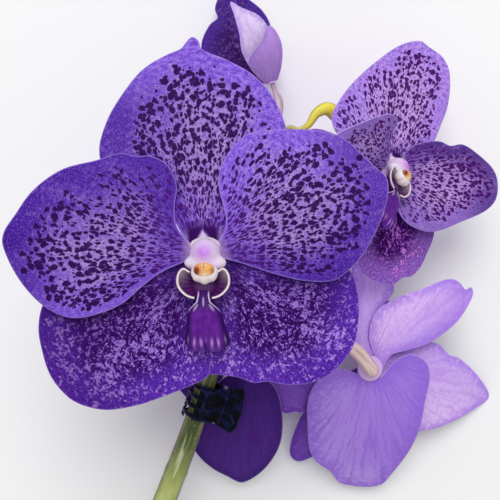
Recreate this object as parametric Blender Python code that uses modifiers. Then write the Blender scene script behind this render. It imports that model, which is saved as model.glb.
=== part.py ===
"""Cut spray of a blue vanda orchid that lies on its back, with a claw clip on its stem.

Lengths below are millimetres in a working frame: +X is right, +Y runs up the spray to its top bloom and +Z
is up from the surface that it lies on. ORIGIN is the point of that frame which becomes the part's origin.

A bloom has a frame of its own, with its hub at 0: +X is right and +Y is up for someone who faces it, and +Z
is the way that it faces. Its sepals lie in one layer, and its petals a little in front of them.
"""

import math
from collections import namedtuple

import bmesh
import bpy
import numpy as np
from mathutils import Matrix, Vector

MM = 0.001
ORIGIN = (13.6, -27.95, 0.0)

# Steps in a smooth curve between two given points, and samples round a tepal's rim.
CURVE_STEPS = 16
RIM_SAMPLES = 400
# Points of a sheet that lie this close are one, as where its two edges meet in its tip.
CLOSED_TIP = 0.001

TEPAL_THICKNESS = 0.8
# A petal's base lies this far in front of the sepals' layer.
PETAL_LAYER = 1.7
# A tepal starts to bend this far from the hub, and has its full roll this much farther out.
TEPAL_FLAT = 4.0
ROLL_REACH = 12.0
# Half waves along each of a tepal's edges.
RIPPLES = 5
# Share by which the bases of a small bloom's tepals stand off its column.
ROOT_ROOM = 0.14
TONGUE_THICKNESS = 1.6
LOBE_THICKNESS = 1.2
# Rounding of a tube's section, in points added to each quarter.
TUBE_ROUNDING = 2

Bloom = namedtuple("Bloom", "hub facing up size across along tepals lip_fold", defaults=(0.0,))
Form = namedtuple("Form", "turn length width lift roll bend cup wave")
Drape = namedtuple("Drape", "midrib lift bend roll cup wave outline")

# Outlines of the five tepals as seen from the front, from the base's first corner round the tip to its last.
OUTLINES = {
    "dorsal_sepal": [
        (2.9, 4.6), (11.0, 12.6), (19.0, 21.0), (23.7, 31.0), (23.2, 38.0), (19.2, 46.6), (13.4, 52.9),
        (5.7, 57.5), (-1.2, 59.6), (-3.6, 62.4), (-6.3, 60.6), (-10.0, 58.6), (-18.6, 54.1), (-24.9, 45.8),
        (-28.6, 38.5), (-30.6, 30.0), (-29.0, 24.5), (-22.5, 19.5), (-12.0, 14.0), (-2.9, 4.6),
    ],
    "left_petal": [
        (-4.6, 2.9), (-7.7, 14.3), (-7.7, 20.0), (-10.0, 25.2), (-15.2, 28.4), (-19.5, 28.4),
        (-24.4, 29.3), (-30.9, 27.2), (-40.9, 24.3), (-49.5, 18.0), (-54.3, 10.9), (-57.6, 4.2),
        (-56.3, -0.9), (-51.5, -9.2), (-45.8, -14.9), (-38.6, -18.0), (-31.5, -17.2), (-23.7, -14.0),
        (-18.0, -9.2), (-12.9, -5.3), (-5.1, -0.9),
    ],
    "right_petal": [
        (5.2, -0.2), (11.4, -2.6), (20.0, -5.4), (28.6, -7.4), (37.2, -7.2), (42.6, -3.1), (46.6, 2.3),
        (50.6, 10.6), (52.3, 18.4), (51.8, 22.3), (48.5, 25.4), (44.9, 28.9), (39.2, 33.8), (31.5, 35.8),
        (21.5, 36.0), (12.9, 35.0), (7.4, 30.4), (4.6, 24.0), (4.3, 15.0), (4.6, 3.4),
    ],
    "left_lateral_sepal": [
        (-4.6, -2.2), (-15.7, -2.6), (-28.6, -4.2), (-40.9, -8.2), (-47.0, -13.6), (-48.8, -20.9),
        (-48.0, -27.7), (-45.2, -35.8), (-39.2, -42.2), (-30.0, -45.3), (-20.0, -44.0), (-12.9, -41.6),
        (-6.3, -38.9), (-0.8, -34.9), (0.5, -31.0), (0.0, -24.0), (-0.6, -14.0), (-0.8, -4.6),
    ],
    "right_lateral_sepal": [
        (1.0, -4.6), (1.3, -14.0), (1.5, -24.0), (1.9, -33.0), (5.2, -35.0), (10.0, -36.0), (14.0, -37.4),
        (18.5, -37.0), (24.3, -38.1), (32.3, -37.2), (38.8, -33.0), (43.5, -26.6), (45.0, -18.6),
        (44.7, -11.0), (42.4, -4.8), (36.0, -0.8), (27.2, 0.6), (15.0, -0.8), (4.8, -2.0),
    ],
}
MIDRIBS = {
    "dorsal_sepal": 92.0,
    "left_petal": 172.0,
    "right_petal": 18.0,
    "left_lateral_sepal": 228.0,
    "right_lateral_sepal": 318.0,
}

# A Form bends the species' own outline. turn: degrees round the bloom from the outline's own place; length,
# width: share of the outline's; lift: how far the base leans forward, bend: how much more the tip does, cup:
# how far the sides do; roll: twist about the midrib; wave: height of the ripple along the edge.
# A Drape is drawn as it looks from above the spray: its outline is a plan from the hub, and its height
# follows slopes in degrees, from lift at the base to lift + bend at the tip, roll to its right and cup at
# its sides.
# lip_fold: degrees by which a half-open bloom's lip is still folded up in front of its column.
BLOOMS = {
    "front": Bloom(
        hub=(-13.0, -1.4, 91.0), facing=(0, 0, 1), up=(0, 1, 0), size=1.0, across=6, along=14,
        tepals={
            "dorsal_sepal": Form(0, 1, 1, -3, 0, -2, 5, 0.5),
            "left_petal": Form(0, 1, 1, 4, 0, -7, -6, 0.5),
            "right_petal": Form(0, 1, 1, 4, 0, -7, -6, 0.5),
            "left_lateral_sepal": Form(0, 1, 1, -3, 0, 0, -4, 0.5),
            "right_lateral_sepal": Form(0, 1, 1, -3, 0, 0, -4, 0.5),
        },
    ),
    "upper": Bloom(
        hub=(48.3, 28.0, 44.0), facing=(0.70, 0.05, 0.71), up=(0.375, 0.89, -0.43), size=0.86, across=5,
        along=12,
        tepals={
            "dorsal_sepal": Drape(73, -20, 10, -16, 8, 0.4, [
                (3.2, 3.2), (12.5, 5.0), (18.0, 13.0), (21.5, 19.5), (24.0, 25.0), (25.5, 34.5),
                (25.0, 40.0), (22.5, 44.0), (17.0, 47.0), (14.5, 48.5), (7.5, 47.0), (-4.0, 38.5),
                (-14.0, 28.0), (-19.5, 19.0), (-20.0, 15.5), (-18.0, 11.0), (-9.0, 5.5), (-1.2, 4.0),
            ]),
            "left_petal": Drape(158, 54, 0, 20, 0, 0.3, [
                (-2.2, 2.2), (-2.8, 9.5), (-1.0, 14.5), (-3.5, 16.0), (-9.0, 14.5), (-13.0, 12.5),
                (-22.5, 7.5), (-26.0, 3.0), (-23.0, -1.0), (-12.0, -2.5), (-2.6, -1.6),
            ]),
            "right_petal": Drape(-3, -20, 4, 0, 6, 0.4, [
                (3.0, -2.6), (3.0, -11.5), (4.0, -16.0), (7.0, -19.5), (14.5, -22.0), (20.0, -21.0),
                (26.0, -18.5), (37.0, -13.5), (40.5, -9.5), (41.0, -3.0), (39.0, 2.0), (32.0, 8.0),
                (27.0, 10.5), (22.5, 10.0), (19.0, 11.5), (14.0, 11.5), (8.5, 10.0), (5.0, 7.0),
                (3.0, 2.6),
            ]),
            "left_lateral_sepal": Form(0, 0.9, 0.9, -12, 0, 4, 0, 0.5),
            "right_lateral_sepal": Drape(-82, -10.5, 4, 20, 0, 0.4, [
                (-1.0, -4.4), (-6.5, -12.5), (-11.5, -21.0), (-12.5, -28.0), (-11.0, -32.5), (-8.5, -36.5),
                (-2.5, -39.5), (3.0, -40.0), (6.0, -38.0), (9.5, -37.5), (13.0, -34.5), (15.5, -30.0),
                (18.5, -22.0), (17.0, -15.5), (10.5, -8.5), (3.0, -3.4),
            ]),
        },
    ),
    "lower": Bloom(
        hub=(44.1, -43.4, 30.0), facing=(0, 0, -1), up=(-0.17, -0.98, 0), size=0.93, across=6, along=12,
        tepals={
            "dorsal_sepal": Drape(-97, -4, -36, 0, -12, 0.4, [
                (-3.0, -3.4), (-9.0, -1.5), (-16.5, -5.0), (-21.0, -12.0), (-21.5, -23.5), (-20.5, -34.0),
                (-18.5, -38.5), (-12.5, -43.5), (-8.5, -49.0), (-3.0, -50.5), (7.5, -49.5), (11.5, -43.5),
                (17.0, -33.0), (19.5, -24.0), (21.0, -12.5), (22.5, -2.0), (20.5, 3.0), (14.5, 6.0),
                (8.5, 3.2), (3.6, -2.6),
            ]),
            "left_petal": Drape(-133, -22, -8, 0, 0, 0.3, [
                (-4.0, -0.8), (-14.0, -7.5), (-24.5, -21.5), (-28.0, -38.5), (-25.0, -41.0), (-19.5, -38.5),
                (-11.0, -30.0), (-6.0, -15.5), (-2.2, -3.6),
            ]),
            "right_petal": Drape(-19, -16, -19.9, 0, -10, 0.3, [
                (3.2, -3.2), (8.5, -15.0), (18.0, -25.5), (26.5, -26.5), (35.5, -24.5), (46.0, -20.5),
                (53.0, -16.5), (47.5, -7.5), (37.5, 1.5), (33.5, 3.0), (29.0, 7.5), (23.5, 8.5),
                (12.0, 6.0), (4.6, 0.4),
            ]),
            "left_lateral_sepal": Drape(93, 4, -16, 0, -8, 0.4, [
                (1.2, 4.2), (-0.5, 12.0), (-0.5, 18.0), (1.0, 24.0), (3.5, 26.5), (8.0, 28.0), (9.0, 31.0),
                (7.0, 39.0), (1.0, 42.5), (-5.0, 39.0), (-7.5, 28.5), (-6.5, 15.5), (-2.6, 3.6),
            ]),
            "right_lateral_sepal": Drape(36, 0, -10, -14, -8, 0.3, [
                (4.4, 1.2), (7.5, 6.2), (15.0, 7.8), (22.5, 9.8), (32.0, 16.0), (37.0, 22.0), (39.5, 27.5),
                (38.5, 29.5), (36.5, 28.6), (34.0, 31.0), (31.5, 32.5), (28.5, 32.5), (20.5, 29.5),
                (9.5, 25.5), (2.5, 20.5), (0.0, 12.0), (2.4, 3.8),
            ]),
        },
    ),
    "bottom": Bloom(
        hub=(-1.8, -42.3, 30.0), facing=(0, 0, -1), up=(-0.03, -1, 0), size=0.86, across=5, along=12,
        tepals={
            "dorsal_sepal": Drape(-92, -6, -30, 0, -10, 0.3, [
                (-2.6, -3.2), (-9.0, -7.5), (-17.0, -15.5), (-20.0, -26.0), (-19.0, -35.0), (-13.0, -42.5),
                (-7.0, -46.5), (-2.0, -49.5), (1.0, -48.5), (7.5, -42.5), (12.0, -34.5), (13.5, -26.0),
                (12.0, -13.5), (9.0, -7.5), (2.6, -3.2),
            ]),
            "left_petal": Form(16, 0.8, 0.8, 24, 0, 8, 0, 0.5),
            "right_petal": Drape(-36, -12, -4, 0, 0, 0.6, [
                (2.8, -3.4), (10.0, -14.0), (13.0, -18.5), (16.0, -19.5), (18.5, -19.0), (21.5, -19.5),
                (27.0, -13.5), (28.0, -6.0), (20.5, -0.5), (9.0, 2.5), (4.4, -0.6),
            ]),
            "left_lateral_sepal": Form(0, 0.8, 0.8, 2, 0, 20, 0, 0.5),
            "right_lateral_sepal": Form(0, 0.8, 0.7, 2, 0, 20, 0, 0.5),
        },
    ),
    "top": Bloom(
        hub=(8.0, 63.2, 25.2), facing=(-0.36, 0.87, 0.33), up=(0, -0.3, 1), size=0.4, across=5, along=10,
        lip_fold=80,
        tepals={
            "dorsal_sepal": Drape(97, 58, -50, -16, 0, 0.2, [
                (1.4, -0.2), (2.8, 3.5), (3.4, 8.4), (2.6, 12.5), (-0.4, 16.5), (-1.8, 16.2), (-4.0, 11.0),
                (-8.0, 4.7), (-5.0, 1.0), (-1.0, -1.2),
            ]),
            "left_petal": Drape(90, 40, -38, -34, 0, 0.1, [
                (1.7, 1.5), (2.9, 4.5), (3.2, 8.5), (2.4, 13.0), (0.8, 14.5), (-0.8, 12.5), (-1.2, 8.0),
                (0.0, 3.0), (1.6, 0.9),
            ]),
            "right_petal": Drape(120, 46, -44, 0, -20, 0.2, [
                (-2.0, -0.4), (-2.2, 4.5), (-2.0, 8.0), (-1.8, 13.5), (-1.5, 16.5), (-4.7, 20.0),
                (-11.1, 22.4), (-14.6, 24.0), (-13.2, 19.0), (-11.8, 13.8), (-11.0, 8.0), (-6.5, 1.5),
                (-2.3, -0.1),
            ]),
            "left_lateral_sepal": Drape(105, -56, 77.0, -4, 0, 0.2, [
                (1.8, 1.0), (3.2, 7.0), (2.6, 15.0), (0.8, 24.0), (-0.3, 29.5), (-3.4, 34.5), (-8.0, 38.0),
                (-12.0, 40.0), (-15.5, 38.0), (-15.0, 26.0), (-9.0, 17.5), (-2.5, 10.5), (0.6, 5.5),
                (0.3, 0.8),
            ]),
            "right_lateral_sepal": Drape(138, -52, 70, 6, 0, 0.3, [
                (-0.5, 0.5), (-3.0, 4.5), (-5.5, 9.5), (-8.0, 16.0), (-11.5, 26.0), (-14.5, 38.0),
                (-17.4, 41.0), (-20.0, 38.0), (-22.0, 33.0), (-21.0, 29.5), (-24.0, 27.0), (-27.5, 19.0),
                (-25.0, 11.0), (-15.0, 1.5), (-1.9, -0.4),
            ]),
        },
    ),
}

# The lip, in its bloom's frame: stations along its tongue, the tongue's notch, rounded end and arch, and the
# outline of its right side lobe.
TONGUE_START = -9.4
TONGUE_LENGTH = 17.4
TONGUE_STATIONS = (0.0, 0.18, 0.3, 0.4, 0.7, 1.0)
TONGUE_HALF_WIDTHS = (1.6, 1.6, 3.6, 4.4, 5.2, 6.1)
TONGUE_HEIGHTS = (5.8, 7.6, 8.2, 8.0, 6.8, 4.8)
TONGUE_NOTCH = 1.4
TONGUE_NOTCH_REACH = 0.35
TONGUE_ROUNDING = 1.6
TONGUE_ARCH = 1.2
SIDE_LOBE = [
    (1.0, -7.0), (3.9, -4.9), (5.9, -4.0), (7.1, -5.0), (7.7, -7.0), (7.3, -8.7), (5.9, -10.4),
    (4.2, -11.5), (2.5, -12.0), (1.0, -10.0),
]
SIDE_LOBE_LOW = 3.6
SIDE_LOBE_RISE = 5.0
# A folded lip turns about this point, which moves by LIP_FOLDED_BY to clear the column.
LIP_HINGE = (0.0, -5.5, 4.0)
LIP_FOLDED_BY = (0.0, -4.6, -0.4)

# Balls that the column, and the lip's claw and spur, are made of: centre, radii, and faces round and along.
COLUMN_BALLS = {
    "body": ((0, 0.0, 3.6), (4.4, 4.8, 6.0), 10, 7),
    "wings": ((0, -1.4, 5.6), (5.9, 2.3, 2.6), 8, 5),
    "cap": ((0, -4.5, 8.4), (3.3, 2.9, 2.6), 8, 6),
}
LIP_CLAW = ((0, -8.8, 4.8), (2.3, 2.5, 2.5), 8, 5)
LIP_SPUR = ((0, -9.6, 2.9), (1.4, 3.0, 1.4), 6, 5)

# Stem and flower stalks: x, y, z and radius of points on their centre lines.
STEM = [
    (-56.2, -156.7, 4.7, 4.8), (-43.0, -123.0, 15.0, 4.6), (-31.7, -93.3, 26.0, 4.3),
    (-19.7, -61.0, 37.0, 3.7), (-14.5, -43.5, 41.0, 3.4), (-8.7, -24.5, 44.0, 3.1), (-3.5, 0.0, 45.0, 2.7),
    (1.7, 24.5, 44.0, 2.3), (2.8, 46.0, 40.0, 1.9), (0.0, 63.0, 35.0, 1.2),
]
STALKS = {
    "front": [
        (-7.4, -18.0, 44.5, 1.5), (-12.5, -20.0, 52.0, 1.6), (-16.0, -15.5, 66.0, 1.9),
        (-14.6, -5.0, 79.0, 2.3),
    ],
    "upper": [
        (1.5, 24.0, 44.0, 1.3), (6.5, 37.0, 40.0, 1.1), (13.5, 43.7, 38.0, 1.0), (17.6, 42.8, 39.0, 1.0),
        (20.6, 44.2, 40.0, 1.2), (23.6, 48.5, 40.5, 1.8), (27.2, 50.2, 39.5, 2.4), (31.5, 48.2, 36.5, 2.8),
        (37.0, 42.0, 32.5, 2.6), (41.5, 33.5, 34.5, 2.4),
    ],
    "lower": [
        (-4.3, -4.0, 45.0, 1.3), (6.0, -12.0, 48.0, 1.5), (18.0, -21.0, 46.5, 1.8),
        (30.0, -30.0, 42.5, 2.2), (39.0, -37.0, 39.0, 2.4),
    ],
    "bottom": [(-6.0, -12.0, 44.4, 1.3), (-2.0, -24.0, 43.0, 1.5), (-0.6, -35.0, 40.0, 1.9)],
    "top": [
        (2.6, 40.0, 41.0, 1.2), (8.0, 44.0, 35.0, 1.2), (10.6, 50.0, 29.0, 1.4), (10.6, 56.0, 25.0, 1.6),
    ],
}
STEM_STATIONS = 16
# A stalk ends this far behind its hub, after a straight run.
STALK_END = 2.7
STALK_END_RUN = 3.0
STALK_END_RADIUS = 2.4
BRACT_LENGTH = 5.0
BRACT_RADIUS = 2.25
BRACT_TIP_RADIUS = 0.3

# Claw clip, in a frame on the stem: x across it, y along it and z up. Its hinge lies to the stem's right.
CLIP_ON_STEM = (-17.2, -52.9, 38.9)
CLIP_ALONG = (0.31, 0.92, 0.21)
CLIP_UP = (0, 0, 1)
HINGE_X = 6.6
JAW_PLATE = 1.1
JAW_SHAPE = [
    (-4.3, -2.6), (-4.9, 0.0), (-3.9, 3.0), (-1.5, 4.6), (1.2, 4.7), (3.8, 3.7), (6.6, 2.9), (9.4, 3.7),
    (12.2, 5.2), (14.6, 6.2),
]
JAW_STATIONS = 17
TOOTH_WIDTH = 1.4
TOOTH_ROOT_X = -0.4
KNUCKLE_RADIUS = 1.9
KNUCKLE_BORE = 1.0
KNUCKLE_WIDTH = 1.5
WEB_WIDTH = 2.2
PIN_RADIUS = 0.92
SPRING_RADIUS = 1.35
SPRING_WIRE = 0.3
SPRING_TURNS = 3
SPRING_STEPS = 10
SPRING_HALF_WIDTH = 1.9
SPRING_START = 70.0
# The spring's legs, from the hinge: x and z where a leg leaves the coil and where it ends.
SPRING_LEG = ((2.6, 1.9), (5.4, 2.5))
# Lengths that only have to reach past the plate, for the cuts between the teeth and the bore.
CUT_REACH = 12.0
CUT_HEIGHT = 20.0
BORE_LENGTH = 30.0
ROD_SIDES = 16
JAWS = {
    "clip_front_jaw": dict(side=1, ends=(-6.6, 6.6), teeth=(-5.4, -1.8, 1.8, 5.4), knuckles=(-3.6, 3.6)),
    "clip_back_jaw": dict(side=-1, ends=(-9.6, 6.0), teeth=(-7.2, -3.6, 0.0, 3.6), knuckles=(-5.7, 5.7)),
}


def material(name, colour, roughness, metallic=0.0):
    """A plain surface of one linear colour."""
    new = bpy.data.materials.new(name)
    new.use_nodes = True
    shader = new.node_tree.nodes["Principled BSDF"]
    shader.inputs["Base Color"].default_value = (*colour, 1.0)
    shader.inputs["Roughness"].default_value = roughness
    shader.inputs["Metallic"].default_value = metallic
    return new


def curve_through(points, count):
    """Evenly spaced points on a smooth curve through the given ones (a centripetal Catmull-Rom curve)."""
    given = np.asarray(points, float)
    given = np.vstack([2 * given[0] - given[1], given, 2 * given[-1] - given[-2]])
    steps = np.linalg.norm(np.diff(given, axis=0), axis=1)
    knots = np.concatenate([[0.0], np.cumsum(np.sqrt(steps))])
    fine = []
    for i in range(1, len(given) - 2):
        at = np.linspace(knots[i], knots[i + 1], CURVE_STEPS, endpoint=False)[:, None]
        sides = [blend(given[j], given[j + 1], knots[j], knots[j + 1], at) for j in (i - 1, i, i + 1)]
        before = blend(sides[0], sides[1], knots[i - 1], knots[i + 1], at)
        after = blend(sides[1], sides[2], knots[i], knots[i + 2], at)
        fine.append(blend(before, after, knots[i], knots[i + 1], at))
    fine = np.vstack([*fine, given[-2:-1]])
    lengths = np.concatenate([[0.0], np.cumsum(np.linalg.norm(np.diff(fine, axis=0), axis=1))])
    wanted = np.linspace(0.0, lengths[-1], count)
    return np.column_stack([np.interp(wanted, lengths, column) for column in fine.T])


def blend(first, last, start, end, at):
    """Straight blend from first, at start, to last, at end."""
    return first * (end - at) / (end - start) + last * (at - start) / (end - start)


def put(obj, collection, surface=None, parent=None):
    """Links an object to its collection, and gives it its material and parent."""
    collection.objects.link(obj)
    if surface:
        obj.data.materials.append(surface)
    obj.parent = parent
    return obj


def mesh_object(name, build):
    """An object whose mesh is what build does to an empty bmesh, in millimetres."""
    work = bmesh.new()
    build(work)
    bmesh.ops.scale(work, vec=(MM, MM, MM), verts=work.verts)
    mesh = bpy.data.meshes.new(name)
    work.to_mesh(mesh)
    work.free()
    return bpy.data.objects.new(name, mesh)


def sheet_object(name, across, along, thickness, shape):
    """A thin solid: a grid carried to shape(a, b), split into triangles, with a Solidify modifier."""

    def build(work):
        bmesh.ops.create_grid(work, x_segments=across, y_segments=along, size=0.5)
        flat = np.array([vertex.co for vertex in work.verts])
        for vertex, place in zip(work.verts, shape(flat[:, 0] + 0.5, flat[:, 1] + 0.5)):
            vertex.co = place
        bmesh.ops.remove_doubles(work, verts=work.verts, dist=CLOSED_TIP)
        bmesh.ops.triangulate(work, faces=work.faces[:], quad_method="FIXED")

    obj = mesh_object(name, build)
    solid = obj.modifiers.new("Thickness", "SOLIDIFY")
    solid.thickness = thickness * MM
    solid.offset = 0.0
    return obj


def ball_object(name, centre, radii, around, rings):
    """A ball stretched to three radii."""

    def build(work):
        bmesh.ops.create_uvsphere(work, u_segments=around, v_segments=rings, radius=1.0)
        bmesh.ops.scale(work, vec=radii, verts=work.verts)
        bmesh.ops.translate(work, vec=centre, verts=work.verts)

    return mesh_object(name, build)


def tube_object(name, points):
    """A round tube through points of x, y, z and radius, as a closed mesh."""
    curve = bpy.data.curves.new(name, "CURVE")
    curve.dimensions = "3D"
    curve.bevel_depth = MM
    curve.bevel_resolution = TUBE_ROUNDING
    curve.use_fill_caps = True
    spline = curve.splines.new("POLY")
    spline.points.add(len(points) - 1)
    for point, (x, y, z, radius) in zip(spline.points, points):
        point.co = (x * MM, y * MM, z * MM, 1.0)
        point.radius = radius
    drawn = bpy.data.objects.new(name + "_line", curve)
    bpy.context.scene.collection.objects.link(drawn)
    bpy.context.view_layer.update()
    mesh = bpy.data.meshes.new_from_object(drawn.evaluated_get(bpy.context.evaluated_depsgraph_get()))
    bpy.data.objects.remove(drawn)
    bpy.data.curves.remove(curve)
    work = bmesh.new()
    work.from_mesh(mesh)
    bmesh.ops.remove_doubles(work, verts=work.verts, dist=0.00001)
    work.to_mesh(mesh)
    work.free()
    mesh.name = name
    return bpy.data.objects.new(name, mesh)


def joined(name, pieces, cutters=()):
    """One object: the pieces fused by Boolean union, less the cutters."""
    for step, (operation, others) in enumerate((("UNION", pieces[1:]), ("DIFFERENCE", cutters))):
        if not others:
            continue
        group = bpy.data.collections.new(f"{name} {operation}")
        bpy.context.scene.collection.children.link(group)
        for other in others:
            group.objects.link(other)
        if pieces[0].name not in bpy.context.scene.collection.objects:
            bpy.context.scene.collection.objects.link(pieces[0])
        modifier = pieces[0].modifiers.new(operation, "BOOLEAN")
        modifier.operation = operation
        modifier.operand_type = "COLLECTION"
        modifier.collection = group
        modifier.solver = "EXACT"
        bpy.context.view_layer.update()
        evaluated = pieces[0].evaluated_get(bpy.context.evaluated_depsgraph_get())
        mesh = bpy.data.meshes.new_from_object(evaluated)
        pieces[0].modifiers.clear()
        pieces[0].data = mesh
        for other in list(group.objects):
            bpy.data.objects.remove(other)
        bpy.data.collections.remove(group)
    bpy.context.scene.collection.objects.unlink(pieces[0])
    pieces[0].name = name
    pieces[0].data.name = name
    return pieces[0]


def ladder(outline, along):
    """Flat places on rungs between an outline's sides: b runs out along both sides to the tip, and a across.

    Each rung is bowed along the midrib, so that the rungs meet it at even steps.
    """
    edge = curve_through(outline, RIM_SAMPLES)
    tip = (edge @ along).argmax()
    sides = [even(edge[: tip + 1]), even(edge[tip:][::-1])]
    marks = np.linspace(0.0, 1.0, RIM_SAMPLES)
    start, reach = (edge[0] + edge[-1]) @ along / 2, edge[tip] @ along

    def place(a, b):
        first, last = (np.column_stack([np.interp(b, marks, axis) for axis in side.T]) for side in sides)
        bow = start + (reach - start) * b - (first + last) @ along / 2
        return first + a[:, None] * (last - first) + (4 * a * (1 - a) * bow)[:, None] * along

    return place


def even(line):
    """The same line in RIM_SAMPLES evenly spaced points."""
    lengths = np.concatenate([[0.0], np.cumsum(np.linalg.norm(np.diff(line, axis=0), axis=1))])
    wanted = np.linspace(0.0, lengths[-1], RIM_SAMPLES)
    return np.column_stack([np.interp(wanted, lengths, axis) for axis in line.T])


def ripple(wave, a, b):
    """Height of the waves along both edges, which die away toward the base, the tip and the midrib."""
    side = 2.0 * a - 1.0
    return wave * side**3 * np.sin(math.pi * b) * np.sin(RIPPLES * math.pi * b)


def bent_shape(kind, form, bloom):
    """A tepal whose species outline is bent along its midrib, cupped across it and rolled about it."""
    outline = np.array(OUTLINES[kind])
    midrib = math.radians(MIDRIBS[kind])
    along = np.array([math.cos(midrib), math.sin(midrib)])
    across = np.array([math.sin(midrib), -math.cos(midrib)])
    reach = (outline @ along).max() * form.length
    half_width = np.ptp(outline @ across) * form.width / 2
    place = ladder(outline, along)
    turn = midrib + math.radians(form.turn)
    layer = PETAL_LAYER if kind.endswith("petal") else 0.0

    def shape(a, b):
        flat = place(a, b)
        side = flat @ across * form.width
        beyond = np.maximum(flat @ along - TEPAL_FLAT, 0.0) * form.length
        root = np.minimum(flat @ along, TEPAL_FLAT)
        lift, curl = math.radians(form.lift), math.radians(form.bend or 0.01) / reach
        slope = lift + curl * beyond
        y = root + (np.sin(slope) - math.sin(lift)) / curl
        z = (math.cos(lift) - np.cos(slope)) / curl
        curve = math.radians(form.cup or 0.01) / half_width
        raised = (1 - np.cos(curve * side)) / curve + ripple(form.wave, a, b)
        x = np.sin(curve * side) / curve
        y = y - raised * np.sin(slope)
        z = z + raised * np.cos(slope)
        twist = math.radians(form.roll) * np.clip(beyond / ROLL_REACH, 0.0, 1.0)
        x, z = x * np.cos(twist) - z * np.sin(twist), x * np.sin(twist) + z * np.cos(twist)
        right = x * math.sin(turn) + y * math.cos(turn)
        up = -x * math.cos(turn) + y * math.sin(turn)
        return bloom.size * np.column_stack([right, up, z + layer])

    return shape


def draped_shape(kind, drape, bloom):
    """A tepal drawn in plan from above the spray, with its base drawn in to its place round the column."""
    midrib = math.radians(drape.midrib)
    along = np.array([math.cos(midrib), math.sin(midrib)])
    across = np.array([math.sin(midrib), -math.cos(midrib)])
    outline = np.array(drape.outline)
    reach = (outline @ along).max()
    half_width = np.ptp(outline @ across) / 2
    place = ladder(outline, along)
    angles = (drape.lift, drape.lift + drape.bend, drape.roll, drape.cup)
    start, end, roll, cup = (math.tan(math.radians(angle)) for angle in angles)
    axes = np.array(bloom_axes(bloom.facing, bloom.up))
    layer = PETAL_LAYER if kind.endswith("petal") else 0.0
    room = bloom.size + ROOT_ROOM * (1 - bloom.size)
    root = room * np.array([(*corner, layer) for corner in (OUTLINES[kind][0], OUTLINES[kind][-1])])
    ends = np.array([(*outline[0], 0.0), (*outline[-1], 0.0)]) @ axes
    if np.linalg.norm(root[::-1] - ends) < np.linalg.norm(root - ends):
        root = root[::-1]

    def draped(a, b):
        flat = place(a, b)
        out, side = flat @ along, flat @ across
        z = start * out + (end - start) * out * np.abs(out) / (2 * reach)
        z = z + roll * side + cup * side**2 / (2 * half_width) + ripple(drape.wave, a, b)
        return np.column_stack([flat, z]) @ axes + (0.0, 0.0, layer * bloom.size)

    def shape(a, b):
        base = root[0] + a[:, None] * (root[1] - root[0])
        return draped(a, b) + (1 - b[:, None]) ** 1.5 * (base - draped(a, 0 * b))

    return shape


def tongue_shape(a, b):
    """The lip's middle lobe: an arched tongue, narrow at first, that flares and dips to a notched end."""
    side = 2.0 * a - 1.0
    width = np.interp(b, TONGUE_STATIONS, TONGUE_HALF_WIDTHS)
    notch = TONGUE_NOTCH * np.clip(1 - np.abs(side) / TONGUE_NOTCH_REACH, 0, 1) * b**4
    rounding = TONGUE_ROUNDING * side**4 * b**2
    y = TONGUE_START - TONGUE_LENGTH * b + notch + rounding
    z = np.interp(b, TONGUE_STATIONS, TONGUE_HEIGHTS) - TONGUE_ARCH * side**2 * b
    return np.column_stack([side * width, y, z])


def side_lobe_shape(side):
    """One of the lip's two side lobes: an ear that rises round the column's foot like half a bowl."""
    edge = curve_through(SIDE_LOBE[1:-1], RIM_SAMPLES)
    base = np.array([SIDE_LOBE[0], SIDE_LOBE[-1]])

    def shape(a, b):
        rim = np.column_stack([np.interp(a, np.linspace(0, 1, len(edge)), edge[:, k]) for k in (0, 1)])
        root = base[0] + a[:, None] * (base[1] - base[0])
        flat = root + b[:, None] * (rim - root)
        z = SIDE_LOBE_LOW + SIDE_LOBE_RISE * b**1.3
        return np.column_stack([side * flat[:, 0], flat[:, 1], z])

    return shape


def bloom_column():
    """The column: a stout body with two wings, and the anther cap at its end."""
    return joined("column", [ball_object(name, *ball) for name, ball in COLUMN_BALLS.items()])


def bloom_lip():
    """The lip: a claw, the grooved tongue, two side lobes and a short spur, grown as one piece."""
    group = bpy.context.scene.collection
    sheets = [
        sheet_object("tongue", 6, 4, TONGUE_THICKNESS, tongue_shape),
        sheet_object("right lobe", 5, 2, LOBE_THICKNESS, side_lobe_shape(1)),
        sheet_object("left lobe", 5, 2, LOBE_THICKNESS, side_lobe_shape(-1)),
    ]
    solids = []
    for sheet in sheets:
        group.objects.link(sheet)
        bpy.context.view_layer.update()
        mesh = bpy.data.meshes.new_from_object(sheet.evaluated_get(bpy.context.evaluated_depsgraph_get()))
        solids.append(bpy.data.objects.new(sheet.name + " solid", mesh))
        bpy.data.objects.remove(sheet)
    return joined("lip", [ball_object("claw", *LIP_CLAW), *solids, ball_object("spur", *LIP_SPUR)])


def bloom_axes(facing, up):
    """A turn matrix whose +Z faces one way and whose +Y is as near as can be to up."""
    z = Vector(facing).normalized()
    y = Vector(up)
    y = (y - y.dot(z) * z).normalized()
    return Matrix((y.cross(z), y, z)).transposed()


def placed_on(name, at, axes, collection):
    """An empty at a point, turned to the axes."""
    empty = bpy.data.objects.new(name, None)
    collection.objects.link(empty)
    empty.location = (Vector(at) - Vector(ORIGIN)) * MM
    empty.rotation_euler = axes.to_euler()
    return empty


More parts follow.
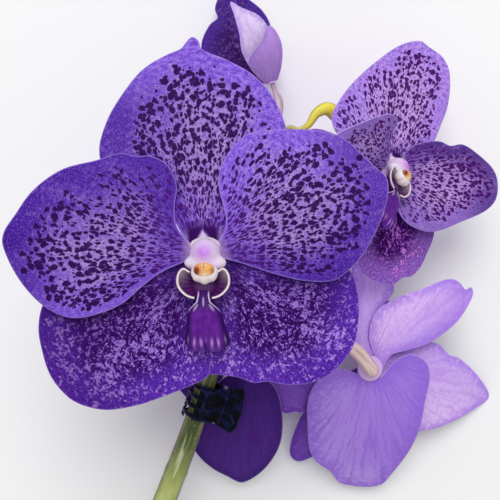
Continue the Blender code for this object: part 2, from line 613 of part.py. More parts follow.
def add_bloom(name, bloom, lip, column, surfaces, collection):
    """Sepals, petals, lip and column of one bloom, on an empty at its hub."""
    empty = placed_on(f"{name} bloom", bloom.hub, bloom_axes(bloom.facing, bloom.up), collection)
    for kind, form in bloom.tepals.items():
        make = draped_shape if isinstance(form, Drape) else bent_shape
        shape = make(kind, form, bloom)
        tepal = sheet_object(f"{name}_{kind}", bloom.across, bloom.along, TEPAL_THICKNESS, shape)
        tepal.data.shade_smooth()
        put(tepal, collection, surfaces["tepal"], empty)
    fold = math.radians(bloom.lip_fold)
    for kind, mesh in (("lip", lip), ("column", column)):
        part = bpy.data.objects.new(f"{name}_{kind}", mesh)
        part.scale = (bloom.size,) * 3
        if kind == "lip" and fold:
            turn = Matrix.Rotation(-fold, 4, "X")
            start = Vector(LIP_HINGE) + Vector(LIP_FOLDED_BY) - turn @ Vector(LIP_HINGE)
            part.rotation_euler = turn.to_euler()
            part.location = start * bloom.size * MM
        put(part, collection, parent=empty)


def stalk_points(name, bloom):
    """A flower stalk's points, ended square on the back of its bloom."""
    facing = Vector(bloom.facing).normalized()
    back = Vector(bloom.hub) - facing * STALK_END * bloom.size
    before = back - facing * STALK_END_RUN
    points = list(STALKS[name])
    points.append((*before, STALK_END_RADIUS * bloom.size))
    points.append((*back, STALK_END_RADIUS * bloom.size))
    return points


def bract(name, points):
    """A small pointed scale at the foot of a stalk, leaning along it."""
    foot = Vector(points[0][:3])
    lean = (Vector(points[1][:3]) - foot).normalized()

    def build(work):
        radii = dict(radius1=BRACT_RADIUS, radius2=BRACT_TIP_RADIUS)
        bmesh.ops.create_cone(work, cap_ends=True, segments=6, depth=BRACT_LENGTH, **radii)
        bmesh.ops.translate(work, vec=(0, 0, BRACT_LENGTH / 2), verts=work.verts)
        bmesh.ops.rotate(work, matrix=lean.to_track_quat("Z", "Y").to_matrix(), verts=work.verts)
        bmesh.ops.translate(work, vec=foot, verts=work.verts)

    return mesh_object(name, build)


def add_stem(surfaces, collection):
    """The stem with its five flower stalks and their scales, fused."""
    pieces = [tube_object("stem", curve_through(STEM, STEM_STATIONS))]
    for name, bloom in BLOOMS.items():
        points = stalk_points(name, bloom)
        pieces.append(tube_object(f"{name} stalk", curve_through(points, 2 * len(points))))
        pieces.append(bract(f"{name} scale", points))
    stem = joined("stem", pieces)
    stem.location = Vector(ORIGIN) * -MM
    stem.data.materials.clear()
    put(stem, collection, surfaces["stem"])


def jaw_object(name, side, ends, teeth, knuckles):
    """One jaw: a bent plate cut into curved teeth at one end, with two knuckles on webs under it."""
    low, high = ends
    line = curve_through(JAW_SHAPE, JAW_STATIONS)
    direction = np.gradient(line, axis=0)
    direction /= np.linalg.norm(direction, axis=1)[:, None]
    normal = np.column_stack([-direction[:, 1], direction[:, 0]]) * JAW_PLATE / 2
    around = np.vstack([line + normal, (line - normal)[::-1]])

    def plate(work):
        ring = [work.verts.new((x, low, side * z)) for x, z in around]
        face = work.faces.new(ring)
        moved = bmesh.ops.extrude_face_region(work, geom=[face])
        far = [item for item in moved["geom"] if isinstance(item, bmesh.types.BMVert)]
        bmesh.ops.translate(work, vec=(0, high - low, 0), verts=far)
        bmesh.ops.recalc_face_normals(work, faces=work.faces)

    def box(size, centre):
        def build(work):
            bmesh.ops.create_cube(work, size=1.0)
            bmesh.ops.scale(work, vec=size, verts=work.verts)
            bmesh.ops.translate(work, vec=centre, verts=work.verts)

        return build

    pieces = [mesh_object(name, plate)]
    for y in knuckles:
        pieces.append(rod_object("knuckle", (HINGE_X, y, 0), KNUCKLE_RADIUS, KNUCKLE_WIDTH, ROD_SIDES))
        web = (WEB_WIDTH, KNUCKLE_WIDTH, JAW_SHAPE[6][1])
        pieces.append(mesh_object("web", box(web, (HINGE_X, y, side * web[2] / 2))))
    edges = [low - 1.0, *sorted(y + s * TOOTH_WIDTH / 2 for y in teeth for s in (-1, 1)), high + 1.0]
    cutters = [rod_object("bore", (HINGE_X, 0, 0), KNUCKLE_BORE, BORE_LENGTH, ROD_SIDES)]
    for start, end in zip(edges[::2], edges[1::2]):
        centre = (TOOTH_ROOT_X - CUT_REACH / 2, (start + end) / 2, 0)
        cutters.append(mesh_object("gap", box((CUT_REACH, end - start, CUT_HEIGHT), centre)))
    return joined(name, pieces, cutters)


def rod_object(name, centre, radius, length, sides):
    """A round rod along y."""

    def build(work):
        radii = dict(radius1=radius, radius2=radius)
        bmesh.ops.create_cone(work, cap_ends=True, segments=sides, depth=length, **radii)
        bmesh.ops.rotate(work, matrix=Matrix.Rotation(math.pi / 2, 3, "X"), verts=work.verts)
        bmesh.ops.translate(work, vec=centre, verts=work.verts)

    return mesh_object(name, build)


def spring_points():
    """The coil spring's centre line: turns round the pin, with a straight leg out to each thumb tab."""
    half = SPRING_HALF_WIDTH
    (near_x, near_z), (far_x, far_z) = SPRING_LEG
    points = [(far_x, -half, far_z), (near_x, -half, near_z)]
    steps = SPRING_STEPS * SPRING_TURNS + SPRING_STEPS // 2
    for i in range(steps + 1):
        angle = math.radians(SPRING_START) + i * 2 * math.pi / SPRING_STEPS
        y = -half + 2 * half * i / steps
        points.append((SPRING_RADIUS * math.cos(angle), y, SPRING_RADIUS * math.sin(angle)))
    points += [(near_x, half, -near_z), (far_x, half, -far_z)]
    return [(HINGE_X + x, y, z, SPRING_WIRE) for x, y, z in points]


def add_clip(surfaces, collection):
    """The claw clip: two jaws hinged on a pin, with the spring that shuts them."""
    along = Vector(CLIP_ALONG).normalized()
    up = Vector(CLIP_UP)
    up = up - up.dot(along) * along
    empty = placed_on("claw clip", CLIP_ON_STEM, bloom_axes(up, along), collection)
    for name, jaw in JAWS.items():
        put(jaw_object(name, **jaw), collection, surfaces["clip"], empty)
    low = JAWS["clip_back_jaw"]["knuckles"][0] - KNUCKLE_WIDTH
    pin = rod_object("clip_pin", (HINGE_X, 0, 0), PIN_RADIUS, -2 * low, ROD_SIDES)
    put(pin, collection, surfaces["metal"], empty)
    spring = tube_object("clip_spring", spring_points())
    put(spring, collection, surfaces["metal"], empty)


def main():
    for obj in list(bpy.data.objects):
        bpy.data.objects.remove(obj)
    spray = bpy.data.collections.new("Vanda orchid spray")
    bpy.context.scene.collection.children.link(spray)
    surfaces = {
        "tepal": material("petal violet", (0.13, 0.05, 0.45), 0.5),
        "lip": material("lip violet", (0.10, 0.02, 0.28), 0.45),
        "column": material("column pink", (0.75, 0.60, 0.78), 0.45),
        "stem": material("stem green", (0.30, 0.36, 0.10), 0.5),
        "clip": material("black plastic", (0.006, 0.006, 0.012), 0.25),
        "metal": material("bright steel", (0.55, 0.55, 0.56), 0.3, 1.0),
    }
    add_stem(surfaces, spray)
    shared = {}
    for kind, build in (("lip", bloom_lip), ("column", bloom_column)):
        solid = build()
        shared[kind] = solid.data
        solid.data.materials.clear()
        solid.data.materials.append(surfaces[kind])
        bpy.data.objects.remove(solid)
    for name, bloom in BLOOMS.items():
        add_bloom(name, bloom, shared["lip"], shared["column"], surfaces, spray)
    add_clip(surfaces, spray)


main()
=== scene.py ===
import math
from collections import namedtuple

import bpy
import numpy as np
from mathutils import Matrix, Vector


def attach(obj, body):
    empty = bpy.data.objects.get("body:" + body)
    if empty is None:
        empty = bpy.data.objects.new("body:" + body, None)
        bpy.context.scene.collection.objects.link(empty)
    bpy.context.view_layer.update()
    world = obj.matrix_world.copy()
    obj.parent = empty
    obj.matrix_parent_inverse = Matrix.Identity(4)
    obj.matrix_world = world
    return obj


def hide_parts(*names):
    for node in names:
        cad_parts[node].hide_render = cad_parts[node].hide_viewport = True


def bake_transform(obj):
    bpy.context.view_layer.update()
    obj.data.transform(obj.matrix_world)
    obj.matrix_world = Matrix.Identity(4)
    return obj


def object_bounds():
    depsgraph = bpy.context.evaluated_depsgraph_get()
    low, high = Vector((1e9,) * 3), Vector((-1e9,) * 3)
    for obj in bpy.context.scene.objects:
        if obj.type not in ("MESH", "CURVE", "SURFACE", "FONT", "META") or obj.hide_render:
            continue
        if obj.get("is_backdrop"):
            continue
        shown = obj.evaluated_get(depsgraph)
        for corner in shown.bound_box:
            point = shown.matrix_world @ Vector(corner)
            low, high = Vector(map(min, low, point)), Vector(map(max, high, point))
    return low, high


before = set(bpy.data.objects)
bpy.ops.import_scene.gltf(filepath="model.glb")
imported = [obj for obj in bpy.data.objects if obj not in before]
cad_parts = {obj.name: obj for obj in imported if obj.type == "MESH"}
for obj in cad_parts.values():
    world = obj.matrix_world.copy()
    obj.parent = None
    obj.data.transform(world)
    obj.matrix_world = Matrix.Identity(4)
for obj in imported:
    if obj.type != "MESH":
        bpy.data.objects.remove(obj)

bl_info = {
    "name": "Vanda Orchid Spray",
    "version": (1, 0, 0),
    "blender": (4, 5, 0),
    "location": "3D View > Sidebar > Orchid",
    "description": "Builds a cut vanda orchid spray with a claw clip round its stem",
    "category": "Add Mesh",
}

MM = 0.001
ORIGIN = np.array([13.6, -27.95, 0.0])

# Camera and light: the lens and the sensor's width in mm; the floor's half width, its gap under the spray,
# and the soft light's breadth and place, in metres.
CAMERA_LENS = 55.38
CAMERA_SENSOR = 36.0
FLOOR_HALF = 3.0
FLOOR_GAP = 0.0004
KEY_SIZE = 1.0
KEY_PLACE = (0.0, 0.8, 1.45)

# Steps in a smooth curve between two given points, and samples along an outline.
CURVE_STEPS = 16
RIM_SAMPLES = 400
# A petal's base lies this far in front of the sepals' layer.
PETAL_LAYER = 1.7
# A tepal starts to bend this far from the hub, and has its full roll this much farther out.
TEPAL_FLAT = 4.0
ROLL_REACH = 12.0
# Half waves along each of a tepal's edges.
RIPPLES = 5
# The tepals' bases on a bloom of size s lie as they would on one of size s + this * (1 - s).
ROOT_ROOM = 0.14
# Cells along and across the grid of a front tepal, and of one on a smaller bloom.
FRONT_GRID = (150, 64)
SMALL_GRID = (96, 44)
# The veins fan out from a point this far behind a tepal's base. Their angle is laid out as if this far away.
VEIN_ORIGIN = 8.0
VEIN_RADIUS = 40.0

Bloom = namedtuple("Bloom", "hub facing up size grid tepals lip_fold", defaults=(0.0,))
Form = namedtuple("Form", "turn length width lift roll bend cup wave")
Drape = namedtuple("Drape", "midrib lift bend roll cup wave outline")
# front, back: names of the skins on a tepal's two faces. clear: breadth in mm of the plain margin on its
# left, its right and at its tip, for someone who looks out from the hub. ink: share that the marks cover.
# deep: how far painted shade darkens it there, at its left, its right and its tip. crease: height in mm
# of the keel behind its tip. axis: where the palest streak lies, as a share of the half width to the right.
Look = namedtuple("Look", "front back clear ink deep crease axis", defaults=(0.0,))

# Outlines of the five tepals as seen from the front, from the base's first corner round the tip to its last.
OUTLINES = {
    "dorsal_sepal": [
        (4.8, 3.2), (11.0, 12.6), (19.0, 21.0), (23.7, 31.0), (23.2, 38.0), (19.2, 46.6), (13.4, 52.9),
        (5.7, 57.5), (-1.2, 60.4), (-2.2, 62.8), (-4.0, 63.8), (-5.6, 62.6), (-7.2, 60.6),
        (-11.4, 58.7), (-18.6, 54.1), (-24.9, 45.8),
        (-28.6, 38.5), (-30.6, 30.0), (-29.0, 24.5), (-22.5, 19.5), (-12.0, 14.0), (-5.0, 3.0),
    ],
    "left_petal": [
        (-2.8, 2.4), (-5.6, 4.8), (-8.2, 8.6), (-8.6, 14.3), (-8.0, 20.0), (-10.0, 25.2), (-15.2, 28.4),
        (-19.5, 28.4),
        (-24.4, 29.3), (-30.9, 27.2), (-40.9, 24.3), (-49.5, 18.0), (-54.3, 10.9), (-57.6, 4.2),
        (-56.3, -0.9), (-51.5, -9.2), (-45.8, -14.9), (-38.6, -18.0), (-31.5, -17.2), (-23.7, -14.0),
        (-18.0, -9.2), (-12.9, -5.3), (-2.8, -0.7),
    ],
    "right_petal": [
        (3.0, -0.4), (11.4, -2.6), (20.0, -5.4), (28.6, -7.4), (37.2, -7.2), (42.6, -3.1), (46.6, 2.3),
        (50.6, 10.6), (52.3, 18.4), (51.8, 22.3), (48.5, 25.4), (44.9, 28.9), (39.2, 33.8), (31.5, 35.8),
        (21.5, 36.0), (12.9, 35.0), (7.4, 30.4), (4.2, 24.0), (4.1, 19.0), (5.4, 14.0), (6.2, 9.6), (5.4, 6.0),
        (3.0, 3.0),
    ],
    "left_lateral_sepal": [
        (-4.6, -0.4), (-15.7, -2.4), (-28.6, -4.2), (-40.9, -8.2), (-47.0, -13.6), (-48.8, -20.9),
        (-48.0, -27.7), (-45.2, -35.8), (-39.2, -42.2), (-30.0, -45.3), (-20.0, -44.0), (-12.9, -41.6),
        (-6.3, -38.9), (0.6, -35.4), (1.5, -31.0), (1.2, -24.0), (0.8, -14.0), (0.2, -4.6),
    ],
    "right_lateral_sepal": [
        (1.0, -4.6), (1.1, -14.0), (0.4, -24.0), (-1.4, -34.4), (4.0, -35.2), (10.0, -36.0), (14.0, -37.4),
        (18.5, -37.0), (24.3, -38.1), (32.3, -37.2), (38.8, -33.0), (43.5, -26.6), (45.0, -18.6),
        (44.7, -11.0), (42.4, -4.8), (36.0, -0.8), (27.2, 0.6), (15.0, -0.8), (4.8, -0.2),
    ],
}
MIDRIBS = {
    "dorsal_sepal": 92.0,
    "left_petal": 172.0,
    "right_petal": 18.0,
    "left_lateral_sepal": 228.0,
    "right_lateral_sepal": 318.0,
}

# A Form bends the species' own outline. turn: degrees round the bloom from the outline's own place; length,
# width: share of the outline's; lift: how far the base leans forward, bend: how much more the tip does, cup:
# how far the sides do; roll: twist about the midrib; wave: height of the ripple along the edge.
# A Drape is drawn as it looks from above the spray: its outline is a plan from the hub, and its height
# follows slopes in degrees, from lift at the base to lift + bend at the tip, roll to its right and cup at
# its sides.
BLOOMS = {
    "front": Bloom(
        hub=(-13.0, -1.4, 91.0), facing=(0, 0, 1), up=(0, 1, 0), size=1.0, grid=FRONT_GRID,
        tepals={
            "dorsal_sepal": Form(0, 1, 1, -3, 0, -2, 5, 0.5),
            "left_petal": Form(0, 1, 1, 4, 0, -7, -6, 0.5),
            "right_petal": Form(0, 1, 1, 4, 0, -7, -6, 0.5),
            "left_lateral_sepal": Form(0, 1, 1, -3, 0, 0, -4, 0.5),
            "right_lateral_sepal": Form(0, 1, 1, -4.2, 0, 0, -4, 0.5),
        },
    ),
    "upper": Bloom(
        hub=(48.3, 28.0, 44.0), facing=(0.70, 0.05, 0.71), up=(0.375, 0.89, -0.43), size=0.86,
        grid=SMALL_GRID,
        tepals={
            "dorsal_sepal": Drape(73, -20, 10, -16, 8, 0.4, [
                (3.2, 3.2), (12.5, 5.0), (18.0, 13.0), (21.5, 19.5), (24.0, 25.0), (25.5, 34.5),
                (25.0, 40.0), (22.5, 44.0), (17.0, 47.0), (14.5, 48.5), (7.5, 47.0), (-4.0, 38.5),
                (-14.0, 28.0), (-19.5, 19.0), (-20.0, 15.5), (-18.0, 11.0), (-9.0, 5.5), (-1.2, 4.0),
            ]),
            "left_petal": Drape(158, 54, 0, 20, 0, 0.3, [
                (-2.2, 2.2), (-2.8, 9.5), (-1.0, 14.5), (-3.5, 16.0), (-9.0, 14.5), (-13.0, 12.5),
                (-22.5, 7.5), (-26.0, 3.0), (-23.0, -1.0), (-12.0, -2.5), (-2.6, -1.6),
            ]),
            "right_petal": Drape(-3, -20, 4, 0, 6, 0.4, [
                (3.0, -2.6), (3.0, -11.5), (4.0, -16.0), (7.0, -19.5), (14.5, -22.0), (20.0, -21.0),
                (26.0, -18.5), (37.0, -13.5), (40.5, -9.5), (41.0, -3.0), (39.0, 2.0), (32.0, 8.0),
                (27.0, 10.5), (22.5, 10.0), (19.0, 11.5), (14.0, 11.5), (8.5, 10.0), (5.0, 7.0),
                (3.0, 2.6),
            ]),
            "left_lateral_sepal": Form(0, 0.9, 0.9, -12, 0, 4, 0, 0.5),
            "right_lateral_sepal": Drape(-82, -10.5, 4, 20, 0, 0.4, [
                (-1.0, -4.4), (-6.5, -12.5), (-11.5, -21.0), (-12.5, -28.0), (-11.0, -32.5), (-8.5, -36.5),
                (-2.5, -39.5), (3.0, -40.0), (6.0, -38.0), (9.5, -37.5), (13.0, -34.5), (15.5, -30.0),
                (18.5, -22.0), (17.0, -15.5), (10.5, -8.5), (3.0, -3.4),
            ]),
        },
    ),
    "lower": Bloom(
        hub=(44.1, -43.4, 30.0), facing=(0, 0, -1), up=(-0.17, -0.98, 0), size=0.93, grid=SMALL_GRID,
        tepals={
            "dorsal_sepal": Drape(-97, -4, -36, 0, -12, 0.4, [
                (-3.0, -3.4), (-9.0, -1.5), (-16.5, -5.0), (-21.0, -12.0), (-21.5, -23.5), (-20.5, -34.0),
                (-18.5, -38.5), (-12.5, -43.5), (-8.5, -49.0), (-3.0, -50.5), (7.5, -49.5), (11.5, -43.5),
                (17.0, -33.0), (19.5, -24.0), (21.0, -12.5), (22.5, -2.0), (20.5, 3.0), (14.5, 6.0),
                (8.5, 3.2), (3.6, -2.6),
            ]),
            "left_petal": Drape(-133, -22, -8, 0, 0, 0.3, [
                (-4.0, -0.8), (-14.0, -7.5), (-24.5, -21.5), (-28.0, -38.5), (-25.0, -41.0), (-19.5, -38.5),
                (-11.0, -30.0), (-6.0, -15.5), (-2.2, -3.6),
            ]),
            "right_petal": Drape(-19, -16, -19.9, 0, -10, 0.3, [
                (3.2, -3.2), (8.5, -15.0), (18.0, -25.5), (26.5, -26.5), (35.5, -24.5), (46.0, -20.5),
                (53.0, -16.5), (47.5, -7.5), (37.5, 1.5), (33.5, 3.0), (29.0, 7.5), (23.5, 8.5),
                (12.0, 6.0), (4.6, 0.4),
            ]),
            "left_lateral_sepal": Drape(93, 2.5, -14, 0, -8, 0.4, [
                (1.4, 4.2), (2.0, 11.0), (3.0, 17.0), (5.0, 22.5), (7.6, 25.5), (9.3, 28.0), (9.2, 31.0),
                (7.0, 39.0), (1.0, 42.5), (-5.0, 39.0), (-7.5, 28.5), (-6.5, 15.5), (-2.6, 3.6),
            ]),
            "right_lateral_sepal": Drape(36, 0, -10, -14, -8, 0.3, [
                (4.4, 1.2), (7.5, 6.2), (15.0, 7.8), (22.5, 9.8), (32.0, 16.0), (37.0, 22.0), (39.5, 27.5),
                (38.5, 29.5), (36.5, 28.6), (34.0, 31.0), (31.5, 32.5), (28.5, 32.5), (20.5, 29.5),
                (9.5, 25.5), (2.5, 20.5), (0.0, 12.0), (2.4, 3.8),
            ]),
        },
    ),
    "bottom": Bloom(
        hub=(-1.8, -42.3, 30.0), facing=(0, 0, -1), up=(-0.03, -1, 0), size=0.86, grid=SMALL_GRID,
        tepals={
            "dorsal_sepal": Drape(-92, -6, -30, 0, -10, 0.3, [
                (-2.6, -3.2), (-9.0, -7.5), (-17.0, -15.5), (-20.0, -26.0), (-19.0, -35.0), (-13.0, -42.5),
                (-7.0, -46.5), (-2.0, -49.5), (1.0, -48.5), (7.5, -42.5), (12.0, -34.5), (13.5, -26.0),
                (12.0, -13.5), (9.0, -7.5), (2.6, -3.2),
            ]),
            "left_petal": Form(16, 0.8, 0.8, 24, 0, 8, 0, 0.5),
            "right_petal": Drape(-36, -12, -4, 0, 0, 0.6, [
                (2.8, -3.4), (10.0, -14.0), (13.0, -18.5), (16.0, -19.5), (18.5, -19.0), (21.5, -19.5),
                (27.0, -13.5), (28.0, -6.0), (20.5, -0.5), (9.0, 2.5), (4.4, -0.6),
            ]),
            "left_lateral_sepal": Form(0, 0.8, 0.8, 2, 0, 20, 0, 0.5),
            "right_lateral_sepal": Form(0, 0.8, 0.7, 2, 0, 20, 0, 0.5),
        },
    ),
    "top": Bloom(
        hub=(8.0, 63.2, 25.2), facing=(-0.36, 0.87, 0.33), up=(0, -0.3, 1), size=0.4, grid=SMALL_GRID,
        lip_fold=80,
        tepals={
            "dorsal_sepal": Drape(97, 58, -50, -16, 0, 0.2, [
                (1.4, -0.2), (2.8, 3.5), (3.4, 8.4), (2.6, 12.5), (-0.4, 16.5), (-1.8, 16.2), (-4.0, 11.0),
                (-8.0, 4.7), (-5.0, 1.0), (-1.0, -1.2),
            ]),
            "left_petal": Drape(90, 40, -38, -34, 0, 0.1, [
                (1.7, 1.5), (2.9, 4.5), (3.2, 8.5), (2.4, 13.0), (0.8, 14.5), (-0.8, 12.5), (-1.2, 8.0),
                (0.0, 3.0), (1.6, 0.9),
            ]),
            "right_petal": Drape(120, 46, -44, 0, -20, 0.2, [
                (-2.0, -0.4), (-2.2, 4.5), (-2.0, 8.0), (-1.8, 13.5), (-1.5, 16.5), (-4.7, 20.0),
                (-11.1, 22.4), (-14.6, 24.0), (-13.2, 19.0), (-11.8, 13.8), (-11.0, 8.0), (-6.5, 1.5),
                (-2.3, -0.1),
            ]),
            "left_lateral_sepal": Drape(105, -56, 77.0, -4, 0, 0.2, [
                (1.8, 1.0), (3.2, 7.0), (2.6, 15.0), (0.8, 24.0), (-0.3, 29.5), (-3.4, 34.5), (-8.0, 38.0),
                (-12.0, 40.0), (-15.5, 38.0), (-15.0, 26.0), (-9.0, 17.5), (-2.5, 10.5), (0.6, 5.5),
                (0.3, 0.8),
            ]),
            "right_lateral_sepal": Drape(138, -52, 70, 6, 0, 0.3, [
                (-0.5, 0.5), (-3.0, 4.5), (-5.5, 9.5), (-8.0, 16.0), (-11.5, 26.0), (-14.5, 38.0),
                (-17.4, 41.0), (-20.0, 38.0), (-22.0, 33.0), (-21.0, 29.5), (-24.0, 27.0), (-27.5, 19.0),
                (-25.0, 11.0), (-15.0, 1.5), (-1.9, -0.4),
            ]),
        },
    ),
}

# Marks and painted shade of each tepal's two faces.
LOOKS = {
    "front": {
        "dorsal_sepal": Look("spotted", "pale_back", (8.0, 5.0, 6.0), 1.22, (0.9, 0.0, 0.05), 1.2, 0.1),
        "left_petal": Look("spotted", "pale_back", (2.5, 5.0, 8.0), 1.02, (0.3, 0.95, 1.0), 1.6, -0.15),
        "right_petal": Look("spotted", "pale_back", (6.0, 2.0, 6.0), 1.15, (0.0, 0.95, 0.8), 1.6, 0.05),
        "left_lateral_sepal": Look("netted", "pale_back", (2.0, 3.0, 4.0), 0.75, (0.0, 0.6, 0.4), 0.6),
        "right_lateral_sepal": Look("netted", "pale_back", (3.0, 2.0, 3.0), 0.7, (0.35, 0.0, 0.0), 0.6),
    },
    "upper": {
        "dorsal_sepal": Look("spotted_pale", "lilac_back", (3.0, 4.0, 4.0), 0.95, (0.0, 0.12, 0.0), 0.5),
        "left_petal": Look("spotted_pale", "lilac_back", (1.0, 2.0, 2.0), 0.95, (0.5, 0.5, 0.3), 0.4),
        "right_petal": Look("spotted_pale", "lilac_back", (2.0, 4.0, 3.0), 1.05, (0.95, 0.5, 0.85), 0.5),
        "left_lateral_sepal": Look("netted_magenta", "lilac_back", (2.0, 2.0, 2.0), 0.6, (0.2, 0.2, 0.2), 0.4),
        "right_lateral_sepal": Look("netted_magenta", "lilac_back", (1.5, 2.0, 3.0), 0.6, (0.3, 0.4, 0.0), 0.4),
    },
    "lower": {
        "dorsal_sepal": Look("spotted_pale", "pale_back", (3.0, 3.0, 3.0), 0.9, (0.35, 0.7, 0.2), 0.9),
        "left_petal": Look("spotted_pale", "shaded_back", (3.0, 3.0, 3.0), 0.9, (0.4, 0.5, 0.4), 0.6),
        "right_petal": Look("spotted_pale", "lilac_back", (3.0, 3.0, 3.0), 0.9, (0.0, 0.4, 0.3), 0.6),
        "left_lateral_sepal": Look("netted", "lilac_back", (3.0, 3.0, 3.0), 0.75, (0.2, 0.4, 0.1), 0.6),
        # Its painted shade at the left is the shadow of the front bloom.
        "right_lateral_sepal": Look("netted", "lilac_back", (3.0, 3.0, 3.0), 0.75, (0.95, 0.0, 0.6), 0.6),
    },
    "bottom": {
        # The bottom bloom lies in the front bloom's shadow: its darker backs are painted shadow.
        "dorsal_sepal": Look("spotted", "painted_shadow_back", (3.0, 3.0, 3.0), 0.9, (0.2, 0.0, 0.0), 0.4),
        "left_petal": Look("spotted", "painted_shadow_back", (3.0, 3.0, 3.0), 0.9, (0.2, 0.2, 0.2), 0.4),
        "right_petal": Look("spotted", "shaded_back", (3.0, 3.0, 3.0), 0.9, (0.2, 0.2, 0.0), 0.4),
        "left_lateral_sepal": Look("netted", "pale_back", (3.0, 3.0, 3.0), 0.7, (0.2, 0.2, 0.2), 0.4),
        "right_lateral_sepal": Look("netted", "pale_back", (3.0, 3.0, 3.0), 0.7, (0.2, 0.2, 0.2), 0.4),
    },
    "top": {
        "dorsal_sepal": Look("netted_dark", "mauve_back", (1.0, 1.0, 1.0), 0.3, (0.1, 0.2, 0.0), 0.2),
        "left_petal": Look("netted_dark", "mauve_back", (1.0, 1.0, 1.0), 0.3, (0.1, 0.2, 0.0), 0.2),
        "right_petal": Look("netted_dark", "white_back", (1.0, 1.0, 1.0), 0.3, (0.0, 0.0, 0.0), 0.2),
        "left_lateral_sepal": Look("netted_dark", "lilac_back", (3.5, 3.5, 2.0), 0.3, (0.0, 0.0, 0.0), 0.2),
        "right_lateral_sepal": Look("netted_dark", "pale_back", (1.0, 1.0, 1.0), 0.3, (0.0, 0.0, 0.0), 0.2),
    },
}

# The lip, in its bloom's frame: stations along its tongue, from the claw to the notched end.
TONGUE_START = -9.4
TONGUE_LENGTH = 17.4
TONGUE_STATIONS = (0.0, 0.12, 0.22, 0.34, 0.42, 0.7, 0.9, 1.0)
TONGUE_HALF_WIDTHS = (1.5, 1.45, 1.9, 4.2, 4.9, 5.6, 6.2, 6.1)
TONGUE_HEIGHTS = (5.8, 7.2, 8.1, 8.4, 8.3, 7.6, 6.4, 5.0)
SIDE_LOBE = [
    (1.0, -7.0), (3.9, -4.7), (5.6, -3.8), (6.8, -4.9), (7.3, -7.0), (7.0, -8.7), (5.8, -10.4),
    (4.2, -11.5), (2.5, -12.0), (1.0, -10.0),
]
SIDE_LOBE_LOW = 3.6
SIDE_LOBE_RISE = 5.0
LIP_HINGE = np.array([0.0, -5.5, 4.0])
LIP_FOLDED_BY = np.array([0.0, -4.6, -0.4])
LIP_BALLS = [((0.1, -9.0, 4.6), (3.5, 3.4, 2.4)), ((0, -9.6, 2.9), (1.4, 3.0, 1.4))]
COLUMN_CENTRE = (0.2, -0.4, 4.4)
COLUMN_BALLS = [
    ((0.3, 0.2, 3.8), (4.4, 4.5, 5.4)), ((0.4, -2.2, 5.0), (5.9, 2.7, 2.9)), ((0.1, 2.6, 1.8), (4.3, 2.4, 2.0)),
]
BASE_BALL = ((0.0, 0.0, -0.6), (5.0, 5.2, 1.9))
CAP_BALL = ((0.35, -4.9, 8.2), (3.8, 3.15, 2.8))
ANTHER_BALL = ((0.3, -4.1, 9.9), (2.95, 2.1, 1.6))

# Stem and flower stalks: x, y, z and radius of points on their centre lines.
STEM = [
    (-56.2, -156.7, 4.7, 4.8), (-43.0, -123.0, 15.0, 4.6), (-31.7, -93.3, 26.0, 4.3),
    (-19.7, -61.0, 37.0, 3.7), (-14.5, -43.5, 41.0, 3.4), (-8.7, -24.5, 44.0, 3.1), (-3.5, 0.0, 45.0, 2.7),
    (1.7, 24.5, 44.0, 2.3), (2.8, 46.0, 40.0, 1.9), (0.0, 63.0, 35.0, 1.2),
]
STALKS = {
    "front": [
        (-7.4, -18.0, 44.5, 1.5), (-12.5, -20.0, 52.0, 1.6), (-16.0, -15.5, 66.0, 1.9),
        (-14.6, -5.0, 79.0, 2.3),
    ],
    "upper": [
        (1.5, 24.0, 44.0, 1.3), (6.5, 37.0, 40.0, 1.1), (13.5, 43.7, 38.0, 1.0), (17.6, 42.8, 39.0, 1.0),
        (20.6, 44.2, 40.0, 1.2), (23.6, 48.5, 40.5, 1.8), (27.2, 50.2, 39.5, 2.4), (31.5, 48.2, 36.5, 2.8),
        (37.0, 42.0, 32.5, 2.6), (41.5, 33.5, 34.5, 2.4),
    ],
    "lower": [
        (-4.3, -4.0, 45.0, 1.3), (6.0, -12.0, 48.0, 1.5), (18.0, -21.0, 46.5, 1.8),
        (30.0, -30.0, 42.5, 2.2), (39.0, -37.0, 39.0, 2.4),
    ],
    "bottom": [(-6.0, -12.0, 44.4, 1.3), (-2.0, -24.0, 43.0, 1.5), (-0.6, -35.0, 40.0, 1.9)],
    "top": [
        (2.6, 40.0, 41.0, 1.2), (8.0, 44.0, 35.0, 1.2), (10.6, 50.0, 29.0, 1.4), (10.6, 56.0, 25.0, 1.6),
    ],
}
# A stalk ends this far behind its hub, after a straight run.
STALK_END = 2.7
STALK_END_RUN = 3.0
STALK_END_RADIUS = 2.4
BRACT_LENGTH = 5.0
BRACT_RADIUS = 2.25
BRACT_HALF_WALL = 0.16

# Claw clip, in a frame on the stem: x across it, y along it and z up. Its hinge lies to the stem's right.
CLIP_ON_STEM = (-17.2, -52.9, 38.9)
CLIP_ALONG = (0.31, 0.92, 0.21)
HINGE_X = 6.6
JAW_PLATE = 1.1
JAW_SHAPE = [
    (-4.3, -2.6), (-4.9, 0.0), (-3.9, 3.0), (-1.5, 4.6), (1.2, 4.7), (3.8, 3.7), (6.6, 2.9), (9.4, 3.7),
    (12.2, 5.2), (14.6, 6.2),
]
TOOTH_WIDTH = 1.4
# Ribs on a jaw: from and to x of those over the crown and of the one on the thumb tab; half their breadth and
# height; and x and radius of the two that run across it.
CROWN_RIBS = (-1.6, 4.4)
THUMB_RIB = (8.4, 14.0)
RIB_HALVES = (0.62, 0.42)
CROSS_RIBS = ((1.2, 0.8), (8.4, 0.7))
KNUCKLE_RADIUS = 1.9
KNUCKLE_WIDTH = 1.5
WEB_HALF = 1.1
SPRING_RADIUS = 1.35
SPRING_WIRE = 0.3
SPRING_HALF_WIDTH = 1.9
SPRING_START = 70.0
SPRING_TURNS = 3.5
# The spring's legs, from the hinge: x and z where a leg leaves the coil and where it ends.
SPRING_LEG = ((2.6, 1.9), (5.4, 2.5))
